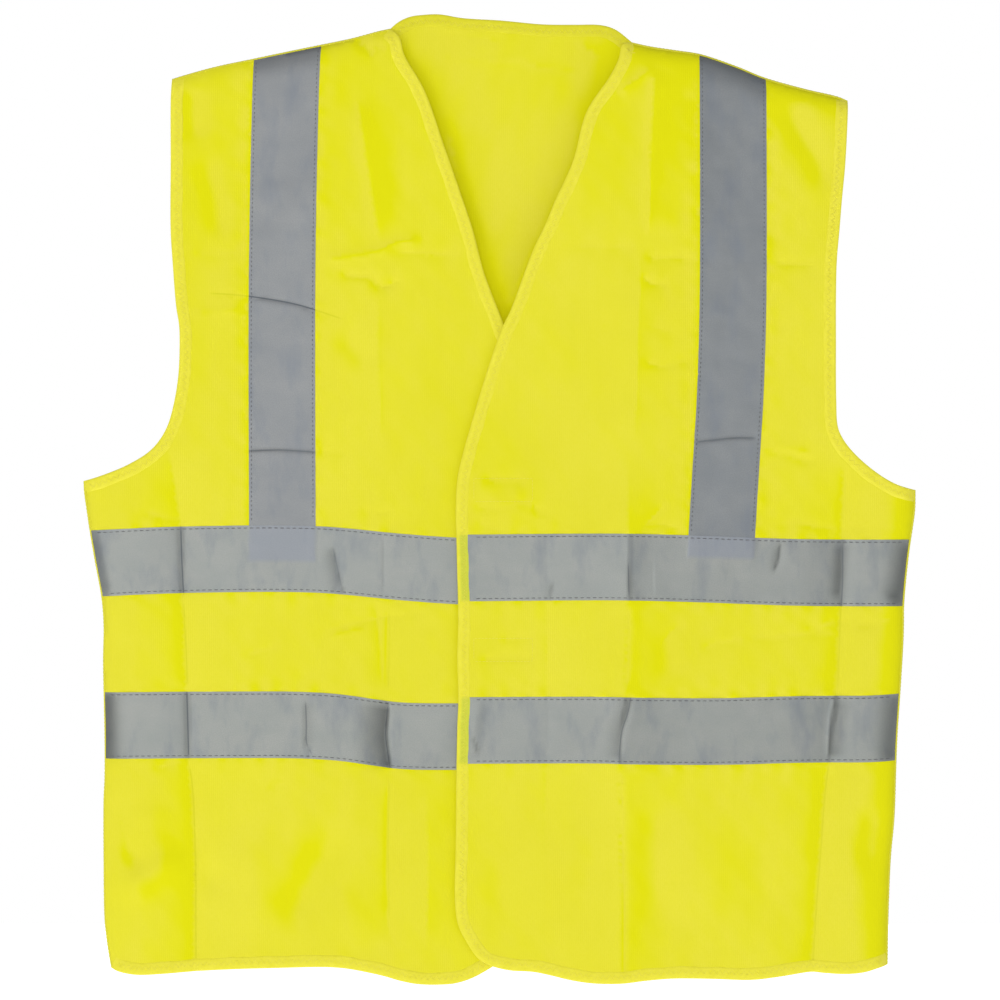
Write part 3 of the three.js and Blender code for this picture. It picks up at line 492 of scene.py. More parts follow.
BAND_SPLINES = {}
for nm, pts in (("left_upper", LEFT_UPPER_BAND_LINE), ("left_lower", LEFT_LOWER_BAND_LINE),
                ("right_upper", RIGHT_UPPER_BAND_LINE), ("right_lower", RIGHT_LOWER_BAND_LINE),
                ("back_upper", BACK_UPPER_BAND_LINE), ("back_lower", BACK_LOWER_BAND_LINE)):
    BAND_SPLINES[nm] = spline(pts, 5.0)
TAPE_SPLINES = {"left": spline(LEFT_TAPE_LINE, 5.0), "right": spline(RIGHT_TAPE_LINE, 5.0)}


def from_tapes(which, points):
    """Signed distance, mm, outside the nearest tape edge (negative under a tape)."""
    x, z = points[:, 0], points[:, 1]
    out = np.full(len(points), 1e3)
    for level in ("upper", "lower"):
        out = np.minimum(out, np.abs(z - band_y(which + "_" + level, x)) - TAPE / 2)
    for side in ("left", "right"):
        if which not in (side, "back"):
            continue
        q = TAPE_SPLINES[side][::-1]
        cx = np.interp(z, q[:, 1], q[:, 0])
        across = np.abs(x - cx) - TAPE / 2
        upper = band_y(which + "_upper", x)
        out = np.minimum(out, np.maximum(across, upper - z))
    return out


def puckers(which, points, seed):
    """Small gathers in the cloth just outside the sewn edges of the tapes, and the cloth pressed flat under them."""
    d = from_tapes(which, points)
    near = np.exp(-np.clip(d, 0, None) / 7.0) * (d > 0)
    p = waves(points, seed, 17.0, 0.30, (1.0, 1.0)) * near
    under = -0.42 * ease((0.8 - d) / 2.4)
    return p + under


def height(which, points, gathered=True):
    points = np.asarray(points, float)
    x, z = points[:, 0], points[:, 1]
    if which == "back":
        d = np.full(len(points), 1e9)
        f = np.ones(len(points))
        for s_ in ("left", "right"):
            d1, d2 = seams_of(s_, points)
            f = f * (1 - np.exp(-d1 / 14.0)) * (1 - np.exp(-d2 / 55.0))
        o = 0.30 + STEP_BACK * f
        low = ease((-470 - z) / 240)
        o += f * waves(points, 21, 240.0, 1.3, (1.0, 0.5))
        o += f * waves(points, 22, 90.0, 0.40, (1.0, 0.55))
        o += f * low * 3.0 * np.sin(x / 33.0 + 0.9 * np.sin(z / 90.0) + 0.6) * (0.6 + 0.4 * np.sin(x / 95.0))
        o += waves(points, 23, 26.0, 0.07)
        o += crease_sum(points, CREASES_BACK)
        if gathered:
            o += puckers("back", points, 24)
        return SEAM_Y + o
    d1, d2 = seams_of(which, points)
    f = (1 - np.exp(-d1 / 5.0)) * (1 - np.exp(-d2 / 5.0))
    step = STEP_OVER if which == "left" else STEP_UNDER
    o = 0.30 + step * f
    fold = FOLD[which]
    t = np.clip((fold[0, 1] - z) / (fold[0, 1] - fold[1, 1]), 0, 1)
    fx = fold[0, 0] + (fold[1, 0] - fold[0, 0]) * t
    away = 0.25 + 0.75 * ease(np.abs(x - fx) / 55.0)
    o += f * away * waves(points, 11, 230.0, 0.75, (1.0, 0.6))
    o += f * away * waves(points, 12, 85.0, 0.24, (1.0, 0.7))
    o += waves(points, 13, 24.0, 0.06)
    o += away * crease_sum(points, CREASES_SHARED)
    o += crease_sum(points, CREASES_LEFT if which == "left" else CREASES_RIGHT)
    if gathered:
        o += puckers(which, points, 14)
    return SEAM_Y - o


# ---------------------------------------------------------------- meshes


def new_object(name, verts, faces, uv, material, tint=None, sharp=55, painted_shade=None, painted_fold_shade=None, painted_glow=None, painted_fold_lines=(None, None)):
    """A mesh object from points in mm, a list of face index arrays and one uv, in mm, for each point."""
    me = bpy.data.meshes.new(name)
    verts = np.asarray(verts, float) / 1000.0
    faces = [np.asarray(f, np.int32) for f in faces if len(f)]
    counts = np.concatenate([np.full(len(f), f.shape[1], np.int32) for f in faces])
    loops = np.concatenate([f.ravel() for f in faces])
    # every piece is closed, so its volume tells which way its faces look
    vol = 0.0
    for f in faces:
        for k in range(1, f.shape[1] - 1):
            vol += np.einsum("ij,ij->i", verts[f[:, 0]], np.cross(verts[f[:, k]], verts[f[:, k + 1]])).sum()
    if vol < 0:
        faces = [f[:, ::-1] for f in faces]
        loops = np.concatenate([f.ravel() for f in faces])
    me.vertices.add(len(verts))
    me.vertices.foreach_set("co", verts.astype(np.float32).ravel())
    me.loops.add(len(loops))
    me.loops.foreach_set("vertex_index", loops)
    me.polygons.add(len(counts))
    me.polygons.foreach_set("loop_start", np.r_[0, np.cumsum(counts)[:-1]].astype(np.int32))
    me.polygons.foreach_set("use_smooth", np.ones(len(counts), bool))
    layer = me.uv_layers.new(name="flat")
    layer.data.foreach_set("uv", (np.asarray(uv, float)[loops] / 1000.0).astype(np.float32).ravel())
    if tint is not None:
        a = me.attributes.new("tint", "FLOAT", "POINT")
        a.data.foreach_set("value", np.asarray(tint, np.float32))
    # point attributes for the materials: tints, painted shade, a painted glow, and the offset and strength of painted
    # lines of shade along folds
    for key, values in (("painted_shade", painted_shade), ("painted_fold_shade", painted_fold_shade), ("painted_glow", painted_glow), ("fold_line_offset", painted_fold_lines[0]), ("fold_line_shade", painted_fold_lines[1])):
        if values is not None:
            a = me.attributes.new(key, "FLOAT", "POINT")
            a.data.foreach_set("value", np.asarray(values, np.float32))
    me.update(calc_edges=True)
    me.validate()
    me.set_sharp_from_angle(angle=math.radians(sharp))
    ob = bpy.data.objects.new(name, me)
    bpy.context.scene.collection.objects.link(ob)
    me.materials.append(material)
    return ob


def inset_loop(loop, by, turn):
    """A closed outline moved inwards."""
    n = len(loop)
    a, b = np.roll(loop, 1, axis=0), np.roll(loop, -1, axis=0)
    d = b - a
    d /= np.maximum(np.linalg.norm(d, axis=1, keepdims=True), 1e-9)
    return loop + np.c_[-d[:, 1], d[:, 0]] * by * turn


def closed_loop(parts):
    pts = [parts[0]]
    for p in parts[1:]:
        pts.append(p[1:])
    loop = np.vstack(pts)
    if np.linalg.norm(loop[0] - loop[-1]) < 1e-3:
        loop = loop[:-1]
    return loop


def cloth(name, which, loop, lines, spacing, material):
    """A sheet of cloth with its real thickness, meshed so that its creases fall on edges."""
    rng = np.random.default_rng(5)
    lo, hi = loop.min(0), loop.max(0)
    rows = np.arange(lo[1], hi[1], spacing * 0.87)
    grid = []
    for i, zz in enumerate(rows):
        xs = np.arange(lo[0] + (i % 2) * spacing / 2, hi[0], spacing)
        grid.append(np.c_[xs, np.full(len(xs), zz)])
    grid = np.vstack(grid)
    grid = grid + rng.uniform(-0.12, 0.12, grid.shape) * spacing
    grid = grid[inside(grid, loop)]
    closed = np.vstack([loop, loop[:1]])
    grid = grid[nearest(grid, closed)[0] > spacing * 0.55]
    pts, edges = [loop], [(i, (i + 1) % len(loop)) for i in range(len(loop))]
    base = len(loop)
    for line in lines:
        line = spline(line, spacing) if len(line) > 2 else evenly(np.array(line, float), spacing)
        ok = inside(line, loop)
        ok &= nearest(line, closed)[0] > spacing * 0.8
        line = line[ok]
        if len(line) < 3:
            continue
        grid = grid[nearest(grid, line)[0] > spacing * 0.55]
        gaps = np.linalg.norm(np.diff(line, axis=0), axis=1) < spacing * 1.6
        edges += [(base + i, base + i + 1) for i in range(len(line) - 1) if gaps[i]]
        pts.append(line)
        base += len(line)
    pts.append(grid)
    flat = np.vstack(pts)
    res = delaunay_2d_cdt([tuple(p) for p in flat], edges, [list(range(len(loop)))], 1, 1e-4)
    v = np.array([tuple(q) for q in res[0]], float)
    f = np.array([t for t in res[2] if len(t) == 3], np.int32)
    a, b, c = v[f[:, 0]], v[f[:, 1]], v[f[:, 2]]
    turned = ((b[:, 0] - a[:, 0]) * (c[:, 1] - a[:, 1]) - (b[:, 1] - a[:, 1]) * (c[:, 0] - a[:, 0])) < 0
    f[turned] = f[turned][:, ::-1]
    used = np.unique(f)
    remap = -np.ones(len(v), np.int64)
    remap[used] = np.arange(len(used))
    v, f = v[used], remap[f].astype(np.int32)
    y = height(which, v)
    # painted shade: where the cloth slopes away from the light, which comes from the wearer's right, its colour is
    # painted darker and more saturated
    k = 1.0 if which == "back" else -1.0
    gx = (height(which, v + [1.6, 0]) - y) * k / 1.6
    gz = (height(which, v + [0, 1.6]) - y) * k / 1.6
    slope = -gx * 0.85 - gz * 0.15
    painted_shade = 0.10 + slope * 9.5
    # and painted shade where another layer overhangs it, with a painted glow there standing in for light that has
    # passed through cloth
    painted_glow = np.zeros(len(v))
    if which == "back":
        for other in ("left", "right"):
            d = nearest(v, E[other]["bound"][::2])[0]
            if other == "right":
                w = np.interp(-v[:, 1], [20, 60, 90, 110, 140, 165, 215, 240], [20.0, 17.0, 13.0, 8.0, 6.5, 12.0, 13.0, 9.0])
            else:
                w = np.interp(-v[:, 1], [20, 35, 62, 80, 240], [4.0, 11.0, 9.0, 2.4, 2.4])
            g = 1.0 / (1.0 + np.exp((d - w) / (0.24 * w + 0.5)))
            painted_glow = np.maximum(painted_glow, g)
        painted_glow = (painted_glow + 0.2 * ease((-185 - v[:, 1]) / 50.0)) * ease((v[:, 1] + 250) / 34.0)
    elif which == "right":
        painted_glow = 0.45 * np.exp(-nearest(v, E["left"]["bound"][::2])[0] / 7.0) * (v[:, 1] < -225)
    painted_glow = np.clip(painted_glow, 0.0, 1.0)
    # painted shade: the fronts' colour is painted darker towards the top
    if which != "back":
        painted_shade = painted_shade + 0.40 * ease((v[:, 1] + 235) / 165.0)
    painted_shade = np.clip(painted_shade + 0.95 * painted_glow, 0.0, 1.0)
    if which == "back":
        painted_glow = painted_glow * ease((-150 - v[:, 1]) / 60.0)
    n = len(v)
    # painted shade on the outer face of the back from its own slopes; a fixed amount on the fronts' inner faces
    behind = np.clip(0.15 + gx * 6.0 - gz * 2.0, 0.0, 1.0) if which == "back" else np.full(n, 0.45)
    front = np.c_[v[:, 0], y - CLOTH / 2, v[:, 1]]
    back = np.c_[v[:, 0], y + CLOTH / 2, v[:, 1]]
    e = np.sort(np.vstack([f[:, [0, 1]], f[:, [1, 2]], f[:, [2, 0]]]), axis=1)
    raw = np.vstack([f[:, [0, 1]], f[:, [1, 2]], f[:, [2, 0]]])
    _, first, count = np.unique(e, axis=0, return_index=True, return_counts=True)
    rim = raw[first[count == 1]]
    quads = np.c_[rim[:, 1], rim[:, 0], rim[:, 0] + n, rim[:, 1] + n]
    fold_line_offset, fold_line_shade = fold_line_shade_in(which, v)
    return new_object(name, np.vstack([front, back]), [f, f[:, ::-1] + n, quads], np.vstack([v, v]), material,
                      painted_shade=np.r_[painted_shade, behind], painted_glow=np.r_[painted_glow, np.zeros(n)], painted_fold_lines=(np.r_[fold_line_offset, fold_line_offset], np.r_[fold_line_shade, fold_line_shade * 0.5]))


def slab(name, top, low, nu, nv, uv, material, tint=None, painted_fold_shade=None, painted_fold_lines=None):
    """A closed strip from two grids of nu by nv points."""
    i, j = np.meshgrid(np.arange(nu - 1), np.arange(nv - 1), indexing="ij")
    q = (i * nv + j).ravel()
    quads = np.c_[q, q + nv, q + nv + 1, q + 1]
    n = nu * nv
    ring = np.r_[np.arange(nu) * nv, (nu - 1) * nv + np.arange(1, nv), (np.arange(nu - 2, -1, -1)) * nv + nv - 1, np.arange(nv - 2, 0, -1)]
    nxt = np.roll(ring, -1)
    sides = np.c_[nxt, ring, ring + n, nxt + n]
    faces = [quads, quads[:, ::-1] + n, sides]
    verts = np.vstack([top, low])
    return new_object(name, verts, faces, np.vstack([uv, uv]), material, None if tint is None else np.r_[tint, tint],
                      painted_fold_shade=None if painted_fold_shade is None else np.r_[painted_fold_shade, painted_fold_shade],
                      painted_fold_lines=(None, None) if painted_fold_lines is None else (np.r_[painted_fold_lines[0], painted_fold_lines[0]], np.r_[painted_fold_lines[1], painted_fold_lines[1]]))


def sweep(name, rings, uv, material, tint=None):
    """A closed tube from stations x profile points, capped at both ends."""
    ns, npf = rings.shape[:2]
    i, j = np.meshgrid(np.arange(ns - 1), np.arange(npf), indexing="ij")
    i, j = i.ravel(), j.ravel()
    k = (j + 1) % npf
    quads = np.c_[i * npf + j, i * npf + k, (i + 1) * npf + k, (i + 1) * npf + j]
    verts = rings.reshape(-1, 3)
    c0, c1 = rings[0].mean(0), rings[-1].mean(0)
    verts = np.vstack([verts, c0, c1])
    m = ns * npf
    jj = np.arange(npf)
    cap0 = np.c_[np.full(npf, m), (jj + 1) % npf, jj]
    cap1 = np.c_[np.full(npf, m + 1), (ns - 1) * npf + jj, (ns - 1) * npf + (jj + 1) % npf]
    uvs = np.vstack([uv.reshape(-1, 2), uv[0].mean(0), uv[-1].mean(0)])
    t = None if tint is None else np.r_[tint.ravel(), tint.ravel()[0], tint.ravel()[-1]]
    return new_object(name, verts, [quads, cap0, cap1], uvs, material, t)


def threads(name, starts, ends, rise, radius, out, material, sides=5):
    """Short stitches from starts to ends, points [x, y, z] in mm, arched outwards by rise."""
    a, b = np.asarray(starts, float), np.asarray(ends, float)
    n = len(a)
    d = b - a
    d /= np.maximum(np.linalg.norm(d, axis=1, keepdims=True), 1e-9)
    up = np.zeros_like(d)
    up[:, 1] = out
    w = np.cross(d, up)
    w /= np.maximum(np.linalg.norm(w, axis=1, keepdims=True), 1e-9)
    up = np.cross(w, d)
    where = ((0.0, 0.45, -0.6), (0.16, 0.95, 0.55), (0.5, 1.0, 1.0), (0.84, 0.95, 0.55), (1.0, 0.45, -0.6))
    ring = []
    for t, r, h in where:
        c = a + (b - a) * t + up * (rise * h)
        for s in range(sides):
            ang = 2 * math.pi * s / sides
            ring.append(c + w * (math.cos(ang) * radius * r) + up * (math.sin(ang) * radius * r))
    m = len(where)
    verts = np.stack(ring, 1).reshape(-1, 3)
    base = (np.arange(n) * m * sides)[:, None]
    quads, tris = [], []
    for k in range(m - 1):
        for s in range(sides):
            s2 = (s + 1) % sides
            quads.append([k * sides + s, (k + 1) * sides + s, (k + 1) * sides + s2, k * sides + s2])
    for s in range(1, sides - 1):
        tris.append([0, s, s + 1])
        tris.append([(m - 1) * sides, (m - 1) * sides + s + 1, (m - 1) * sides + s])
    q = (base[:, :, None] + np.array(quads)[None]).reshape(-1, 4)
    t = (base[:, :, None] + np.array(tris)[None]).reshape(-1, 3)
    uv = verts[:, [0, 2]]
    return new_object(name, verts, [q, t], uv, material, sharp=180)


def zigzag(name, path, radius, out, material, sides=5):
    """One thread along the points of a path in mm."""
    p = np.asarray(path, float)
    d = np.gradient(p, axis=0)
    d /= np.maximum(np.linalg.norm(d, axis=1, keepdims=True), 1e-9)
    up = np.tile([0.0, out, 0.0], (len(p), 1))
    w = np.cross(d, up)
    w /= np.maximum(np.linalg.norm(w, axis=1, keepdims=True), 1e-9)
    up = np.cross(w, d)
    ang = 2 * math.pi * np.arange(sides) / sides
    rings = p[:, None] + w[:, None] * (np.cos(ang) * radius)[None, :, None] + up[:, None] * (np.sin(ang) * radius)[None, :, None]
    uv = np.repeat(p[:, None, [0, 2]], sides, axis=1)
    return sweep(name, rings, uv, material)


# ---------------------------------------------------------------- materials


def linear(r, g, b):
    return tuple(((c / 255 + 0.055) / 1.055) ** 2.4 if c > 10 else c / 255 / 12.92 for c in (r, g, b)) + (1.0,)


class Nodes:
    def __init__(self, name):
        self.m = bpy.data.materials.new(name)
        self.m.use_nodes = True
        self.t = self.m.node_tree
        self.t.nodes.clear()
        self.out = self.t.nodes.new("ShaderNodeOutputMaterial")
        self.p = self.t.nodes.new("ShaderNodeBsdfPrincipled")
        self.t.links.new(self.p.outputs[0], self.out.inputs[0])

    def set(self, **values):
        for k, v in values.items():
            self.p.inputs[k.replace("_", " ")].default_value = v

    def node(self, kind, **props):
        n = self.t.nodes.new(kind)
        for k, v in props.items():
            setattr(n, k, v)
        return n

    def link(self, a, b):
        self.t.links.new(a, b)

    def flat(self):
        n = self.node("ShaderNodeUVMap", uv_map="flat")
        return n.outputs[0]

    def scaled(self, vec, sx, sy, sz=1.0):
        n = self.node("ShaderNodeMapping")
        n.inputs["Scale"].default_value = (sx, sy, sz)
        self.link(vec, n.inputs[0])
        return n.outputs[0]

    def noise(self, vec, scale, detail=2.0, rough=0.5):
        n = self.node("ShaderNodeTexNoise")
        n.inputs["Scale"].default_value = scale
        n.inputs["Detail"].default_value = detail
        n.inputs["Roughness"].default_value = rough
        self.link(vec, n.inputs["Vector"])
        return n.outputs[0]

    def wave(self, vec, scale, axis="X", distort=0.0, profile="SIN"):
        n = self.node("ShaderNodeTexWave", bands_direction=axis, wave_profile=profile)
        n.inputs["Scale"].default_value = scale
        n.inputs["Distortion"].default_value = distort
        n.inputs["Detail"].default_value = 1.0
        self.link(vec, n.inputs["Vector"])
        return n.outputs[1]

    def math(self, op, a, b=None, clamp=False):
        n = self.node("ShaderNodeMath", operation=op, use_clamp=clamp)
        for i, v in enumerate((a, b)):
            if v is None:
                continue
            if isinstance(v, (int, float)):
                n.inputs[i].default_value = v
            else:
                self.link(v, n.inputs[i])
        return n.outputs[0]

    def span(self, v, a, b, c, d):
        n = self.node("ShaderNodeMapRange")
        for i, x in enumerate((a, b, c, d)):
            n.inputs[i + 1].default_value = x
        self.link(v, n.inputs[0])
        return n.outputs[0]

    def mix(self, fac, a, b, how="MIX"):
        n = self.node("ShaderNodeMix", data_type="RGBA", blend_type=how)
        for i, v in ((0, fac), (6, a), (7, b)):
            if isinstance(v, (int, float)):
                n.inputs[i].default_value = v
            elif isinstance(v, tuple):
                n.inputs[i].default_value = v
            else:
                self.link(v, n.inputs[i])
        return n.outputs[2]

    def attribute(self, name):
        n = self.node("ShaderNodeAttribute", attribute_type="GEOMETRY", attribute_name=name)
        return n.outputs["Fac"]

    def bump(self, h, strength, distance):
        n = self.node("ShaderNodeBump")
        n.inputs["Strength"].default_value = strength
        n.inputs["Distance"].default_value = distance
        self.link(h, n.inputs["Height"])
        self.link(n.outputs[0], self.p.inputs["Normal"])


WORLD_TINT = (0.97, 0.985, 1.0, 1.0)
WORLD_LEVEL = 0.48
LIGHTS = [
    ("key_low_left", (-1.7, -2.5, -1.15), (-0.05, 0.0, -0.42), (1.1, 1.1), 79.0, (1.0, 0.99, 0.965)),
    ("front_fill", (-0.3, -4.6, -0.1), (0.0, 0.0, -0.36), (1.9, 1.9), 55.0, (1.0, 1.0, 1.0)),
    ("top_fill", (0.1, -1.6, 1.7), (0.0, 0.0, -0.15), (1.6, 1.0), 6.0, (1.0, 1.0, 1.0)),
    ("back_fill", (0.6, 3.6, 1.4), (0.0, 0.0, -0.36), (2.2, 2.2), 62.0, (1.0, 1.0, 1.0)),
]


def cloth_material():
    n = Nodes("hi_vis_knit")
    uv = n.scaled(n.flat(), 1000.0, 1000.0)
    broad = n.noise(n.scaled(uv, 0.006, 0.004), 1.0, 3.0, 0.55)
    mid = n.noise(n.scaled(uv, 0.035, 0.02), 1.0, 3.0, 0.6)
    grain = n.noise(n.scaled(uv, 0.9, 0.35), 1.0, 2.0, 0.6)
    wale = n.wave(uv, 0.314 / 1.45 * 1.0, "X", 0.4)
    course = n.wave(uv, 0.314 / 1.1, "Y", 0.6)
    a = n.mix(n.span(broad, 0.35, 0.65, 0.0, 1.0), linear(202, 196, 46), linear(207, 200, 58))
    b = n.mix(n.span(mid, 0.3, 0.7, 0.0, 0.34), a, linear(210, 203, 68))
    c = n.mix(n.math("MULTIPLY", n.span(wale, 0.0, 1.0, 0.0, 1.0), 0.16), b, linear(188, 184, 30))
    d = n.mix(n.span(grain, 0.35, 0.75, 0.0, 0.30), c, linear(197, 192, 26))
    # painted shade: where the cloth turns away from the light or lies under another layer its colour is painted darker
    # and more saturated, with a random cloud of tone added
    cloud = n.noise(n.scaled(uv, 0.016, 0.010), 1.0, 3.0, 0.55)
    shade_and_tone = n.math("ADD", n.attribute("painted_shade"), n.span(cloud, 0.45, 0.75, 0.0, 0.30))
    e = n.mix(n.math("MULTIPLY", n.math("MINIMUM", shade_and_tone, 1.0), 0.95), d, linear(200, 198, 0))
    # painted shade along the sharp fold lines
    near = n.span(n.math("ABSOLUTE", n.attribute("fold_line_offset")), 0.20, 0.85, 1.0, 0.0)
    k = n.mix(n.math("MULTIPLY", n.math("MULTIPLY", near, n.attribute("fold_line_shade")), 0.55), e, linear(176, 176, 0))
    n.link(k, n.p.inputs["Base Color"])
    n.set(Roughness=0.82, Metallic=0.0)
    n.p.inputs["Specular IOR Level"].default_value = 0.10
    n.p.inputs["Sheen Weight"].default_value = 0.06
    n.p.inputs["Sheen Roughness"].default_value = 0.5
    n.p.inputs["Sheen Tint"].default_value = linear(250, 246, 150)
    # painted glow standing in for the dye's fluorescence: an even emission, stronger in the shade under another layer
    n.p.inputs["Emission Color"].default_value = linear(255, 244, 0)
    n.link(n.math("ADD", n.math("MULTIPLY", n.attribute("painted_glow"), 0.06), 0.09), n.p.inputs["Emission Strength"])
    h = n.math("ADD", n.math("MULTIPLY", wale, 0.7), n.math("ADD", n.math("MULTIPLY", course, 0.35), n.math("MULTIPLY", grain, 0.5)))
    n.bump(h, 0.32, 0.0002)
    return n.m


def tape_material(name, dark, pale, speckle):
    n = Nodes(name)
    uv = n.scaled(n.flat(), 1000.0, 1000.0)
    speck = n.noise(n.scaled(uv, 1.5, 1.5), 1.0, 2.0, 0.7)
    blot = n.noise(n.scaled(uv, 0.03, 0.045), 1.0, 4.0, 0.6)
    weave = n.wave(uv, 0.314 / 0.9, "X", 0.5)
    weft = n.wave(uv, 0.314 / 0.9, "Y", 0.5)
    a = n.mix(n.span(blot, 0.3, 0.7, 0.0, 1.0), dark, pale)
    b = n.mix(n.span(speck, 0.35, 0.75, 0.0, 0.8), a, speckle)
    # bluish smears left by wear
    smear = n.noise(n.scaled(uv, 0.055, 0.022), 1.0, 3.0, 0.6)
    b2 = n.mix(n.span(smear, 0.50, 0.74, 0.0, 0.50), b, linear(98, 105, 116))
    c = n.mix(n.math("MULTIPLY", n.attribute("tint"), 0.42), b2, linear(112, 118, 136))
    # painted shade along sharp folds and over the shaded side of some folds, then a painted line of shade along the
    # fold lines
    d = n.mix(n.math("MULTIPLY", n.attribute("painted_fold_shade"), 0.85), c, linear(40, 42, 40))
    near = n.span(n.math("ABSOLUTE", n.attribute("fold_line_offset")), 0.20, 0.75, 1.0, 0.0)
    e = n.mix(n.math("MULTIPLY", near, n.attribute("fold_line_shade")), d, linear(62, 68, 74))
    n.link(e, n.p.inputs["Base Color"])
    n.set(Roughness=0.48, Metallic=0.55)
    h = n.math("ADD", n.math("MULTIPLY", speck, 0.9), n.math("ADD", n.math("MULTIPLY", weave, 0.25), n.math("MULTIPLY", weft, 0.25)))
    n.bump(h, 0.30, 0.00012)
    return n.m


def bind_material(name, pale, soft, groove, painted_glow):
    n = Nodes(name)
    uv = n.scaled(n.flat(), 1000.0, 1000.0)
    rib = n.wave(uv, 0.314 / 1.15, "X", 0.7)
    slow = n.noise(n.scaled(uv, 0.16, 0.3), 1.0, 2.0, 0.5)
    a = n.mix(n.span(slow, 0.3, 0.7, 0.0, 1.0), pale, soft)
    b = n.mix(n.math("MULTIPLY", rib, 0.16), a, groove)
    # bluish smears left by wear, built but not used in the colour
    smear = n.noise(n.scaled(uv, 0.055, 0.022), 1.0, 3.0, 0.6)
    b2 = n.mix(n.span(smear, 0.50, 0.74, 0.0, 0.50), b, linear(98, 105, 116))
    c = n.mix(n.math("MULTIPLY", n.attribute("tint"), 0.5), b, linear(150, 172, 60))
    n.link(c, n.p.inputs["Base Color"])
    n.set(Roughness=0.70, Metallic=0.0)
    n.p.inputs["Specular IOR Level"].default_value = 0.3
    n.p.inputs["Sheen Weight"].default_value = 0.10
    n.p.inputs["Sheen Roughness"].default_value = 0.5
    # painted glow standing in for the dye's fluorescence: an even emission
    n.p.inputs["Emission Color"].default_value = linear(255, 244, 0)
    n.p.inputs["Emission Strength"].default_value = painted_glow
    n.bump(rib, 0.35, 0.0002)
    return n.m


def plain_material(name, colour, rough=0.7, other=None, scale=1.2, bump=0.3, size=0.0002, metal=0.0, level=0.3):
    n = Nodes(name)
    uv = n.scaled(n.flat(), 1000.0, 1000.0)
    k = n.noise(n.scaled(uv, scale, scale), 1.0, 2.0, 0.6)
    a = n.mix(n.span(k, 0.3, 0.7, 0.0, 1.0), colour, other or colour)
    n.link(a, n.p.inputs["Base Color"])
    n.set(Roughness=rough, Metallic=metal)
    n.p.inputs["Specular IOR Level"].default_value = level
    n.bump(k, bump, size)
    return n.m


def floor_material():
    n = Nodes("studio_floor_white")
    g = n.node("ShaderNodeNewGeometry")
    k = n.noise(n.scaled(g.outputs["Position"], 2.0, 2.0, 2.0), 1.0, 2.0, 0.5)
    n.link(n.mix(k, (0.93, 0.93, 0.93, 1), (0.95, 0.95, 0.95, 1)), n.p.inputs["Base Color"])
    n.set(Roughness=0.9)
    n.p.inputs["Emission Color"].default_value = (1, 1, 1, 1)
    n.p.inputs["Emission Strength"].default_value = 0.6
    return n.m


M_CLOTH = cloth_material()
# painted light and shade: the tape on the wearer's left is a darker copy of the tape, for the shade on that side, and
# the bands a lighter, greener copy, for the light lower down
M_TAPE = {
    "right": tape_material("reflective_tape_grey", linear(121, 124, 126), linear(130, 132, 132), linear(105, 108, 112)),
    "left": tape_material("reflective_tape_grey_painted_shade", linear(113, 117, 120), linear(123, 126, 127), linear(98, 102, 106)),
}
M_BAND = tape_material("reflective_band_grey_painted_light", linear(132, 136, 133), linear(141, 143, 139), linear(115, 119, 118))
M_BIND = bind_material("edge_binding_yellow", linear(207, 200, 44), linear(212, 205, 58), linear(198, 192, 26), 0.085)
# painted shade: the back neck binding is a darker copy of the edge binding, with less emission
M_NECK_SHADED = bind_material("neck_binding_yellow_painted_shade", linear(198, 192, 26), linear(202, 197, 38), linear(190, 185, 14), 0.078)
M_SEAM = plain_material("overlock_seam_yellow", linear(204, 198, 36), 0.8, linear(213, 207, 60), 1.1, 0.5, 0.0003)
M_THREAD = plain_material("tape_stitch_grey", linear(84, 85, 87), 0.7, linear(101, 102, 104), 2.0, 0.3, 0.0001)
M_YARN = plain_material("yellow_stitch_yarn", linear(226, 219, 92), 0.7, linear(220, 213, 76), 1.6, 0.3, 0.0001)
M_HOOK = plain_material("hook_tape_yellow", linear(210, 214, 60), 0.45, linear(176, 184, 40), 2.6, 1.0, 0.0008, 0.0, 0.5)
M_LOOP = plain_material("loop_tape_yellow", linear(232, 229, 90), 0.95, linear(200, 200, 50), 1.7, 1.0, 0.0012, 0.0, 0.1)
M_FLOOR = floor_material()


# ---------------------------------------------------------------- pieces


def blend_flap(ob):
    """Bakes the piece's transform into its mesh."""
    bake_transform(ob)
    return ob


def join_body(ob, body):
    if body in ("left", "right"):
        blend_flap(ob)
    else:
        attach(ob, body)
    return ob


def lift_for(which, pts):
    """How far a band is raised, 0 to 1, where the end of a vertical tape lies under it."""
    x, z = pts[:, 0], pts[:, 1]
    out = np.zeros(len(pts))
    for side in ("left", "right"):
        if which not in (side, "back"):
            continue
        q = TAPE_SPLINES[side][::-1]
        cx = np.interp(z, q[:, 1], q[:, 0])
        low = TAPE_END[side]
        out = np.maximum(out, ease((TAPE / 2 + 0.8 - np.abs(x - cx)) / 1.6) * ease((z - low + 0.8) / 1.6))
    return out


def layer_y(which, pts, out, lift=0.0):
    """y at a distance out in front of the cloth's own smooth surface (behind it, for the back)."""
    y = smooth_height(which, pts)
    k = 1.0 if which == "back" else -1.0
    return y + k * (out + lift)


def smooth_height(which, pts):
    return height(which, pts, False)


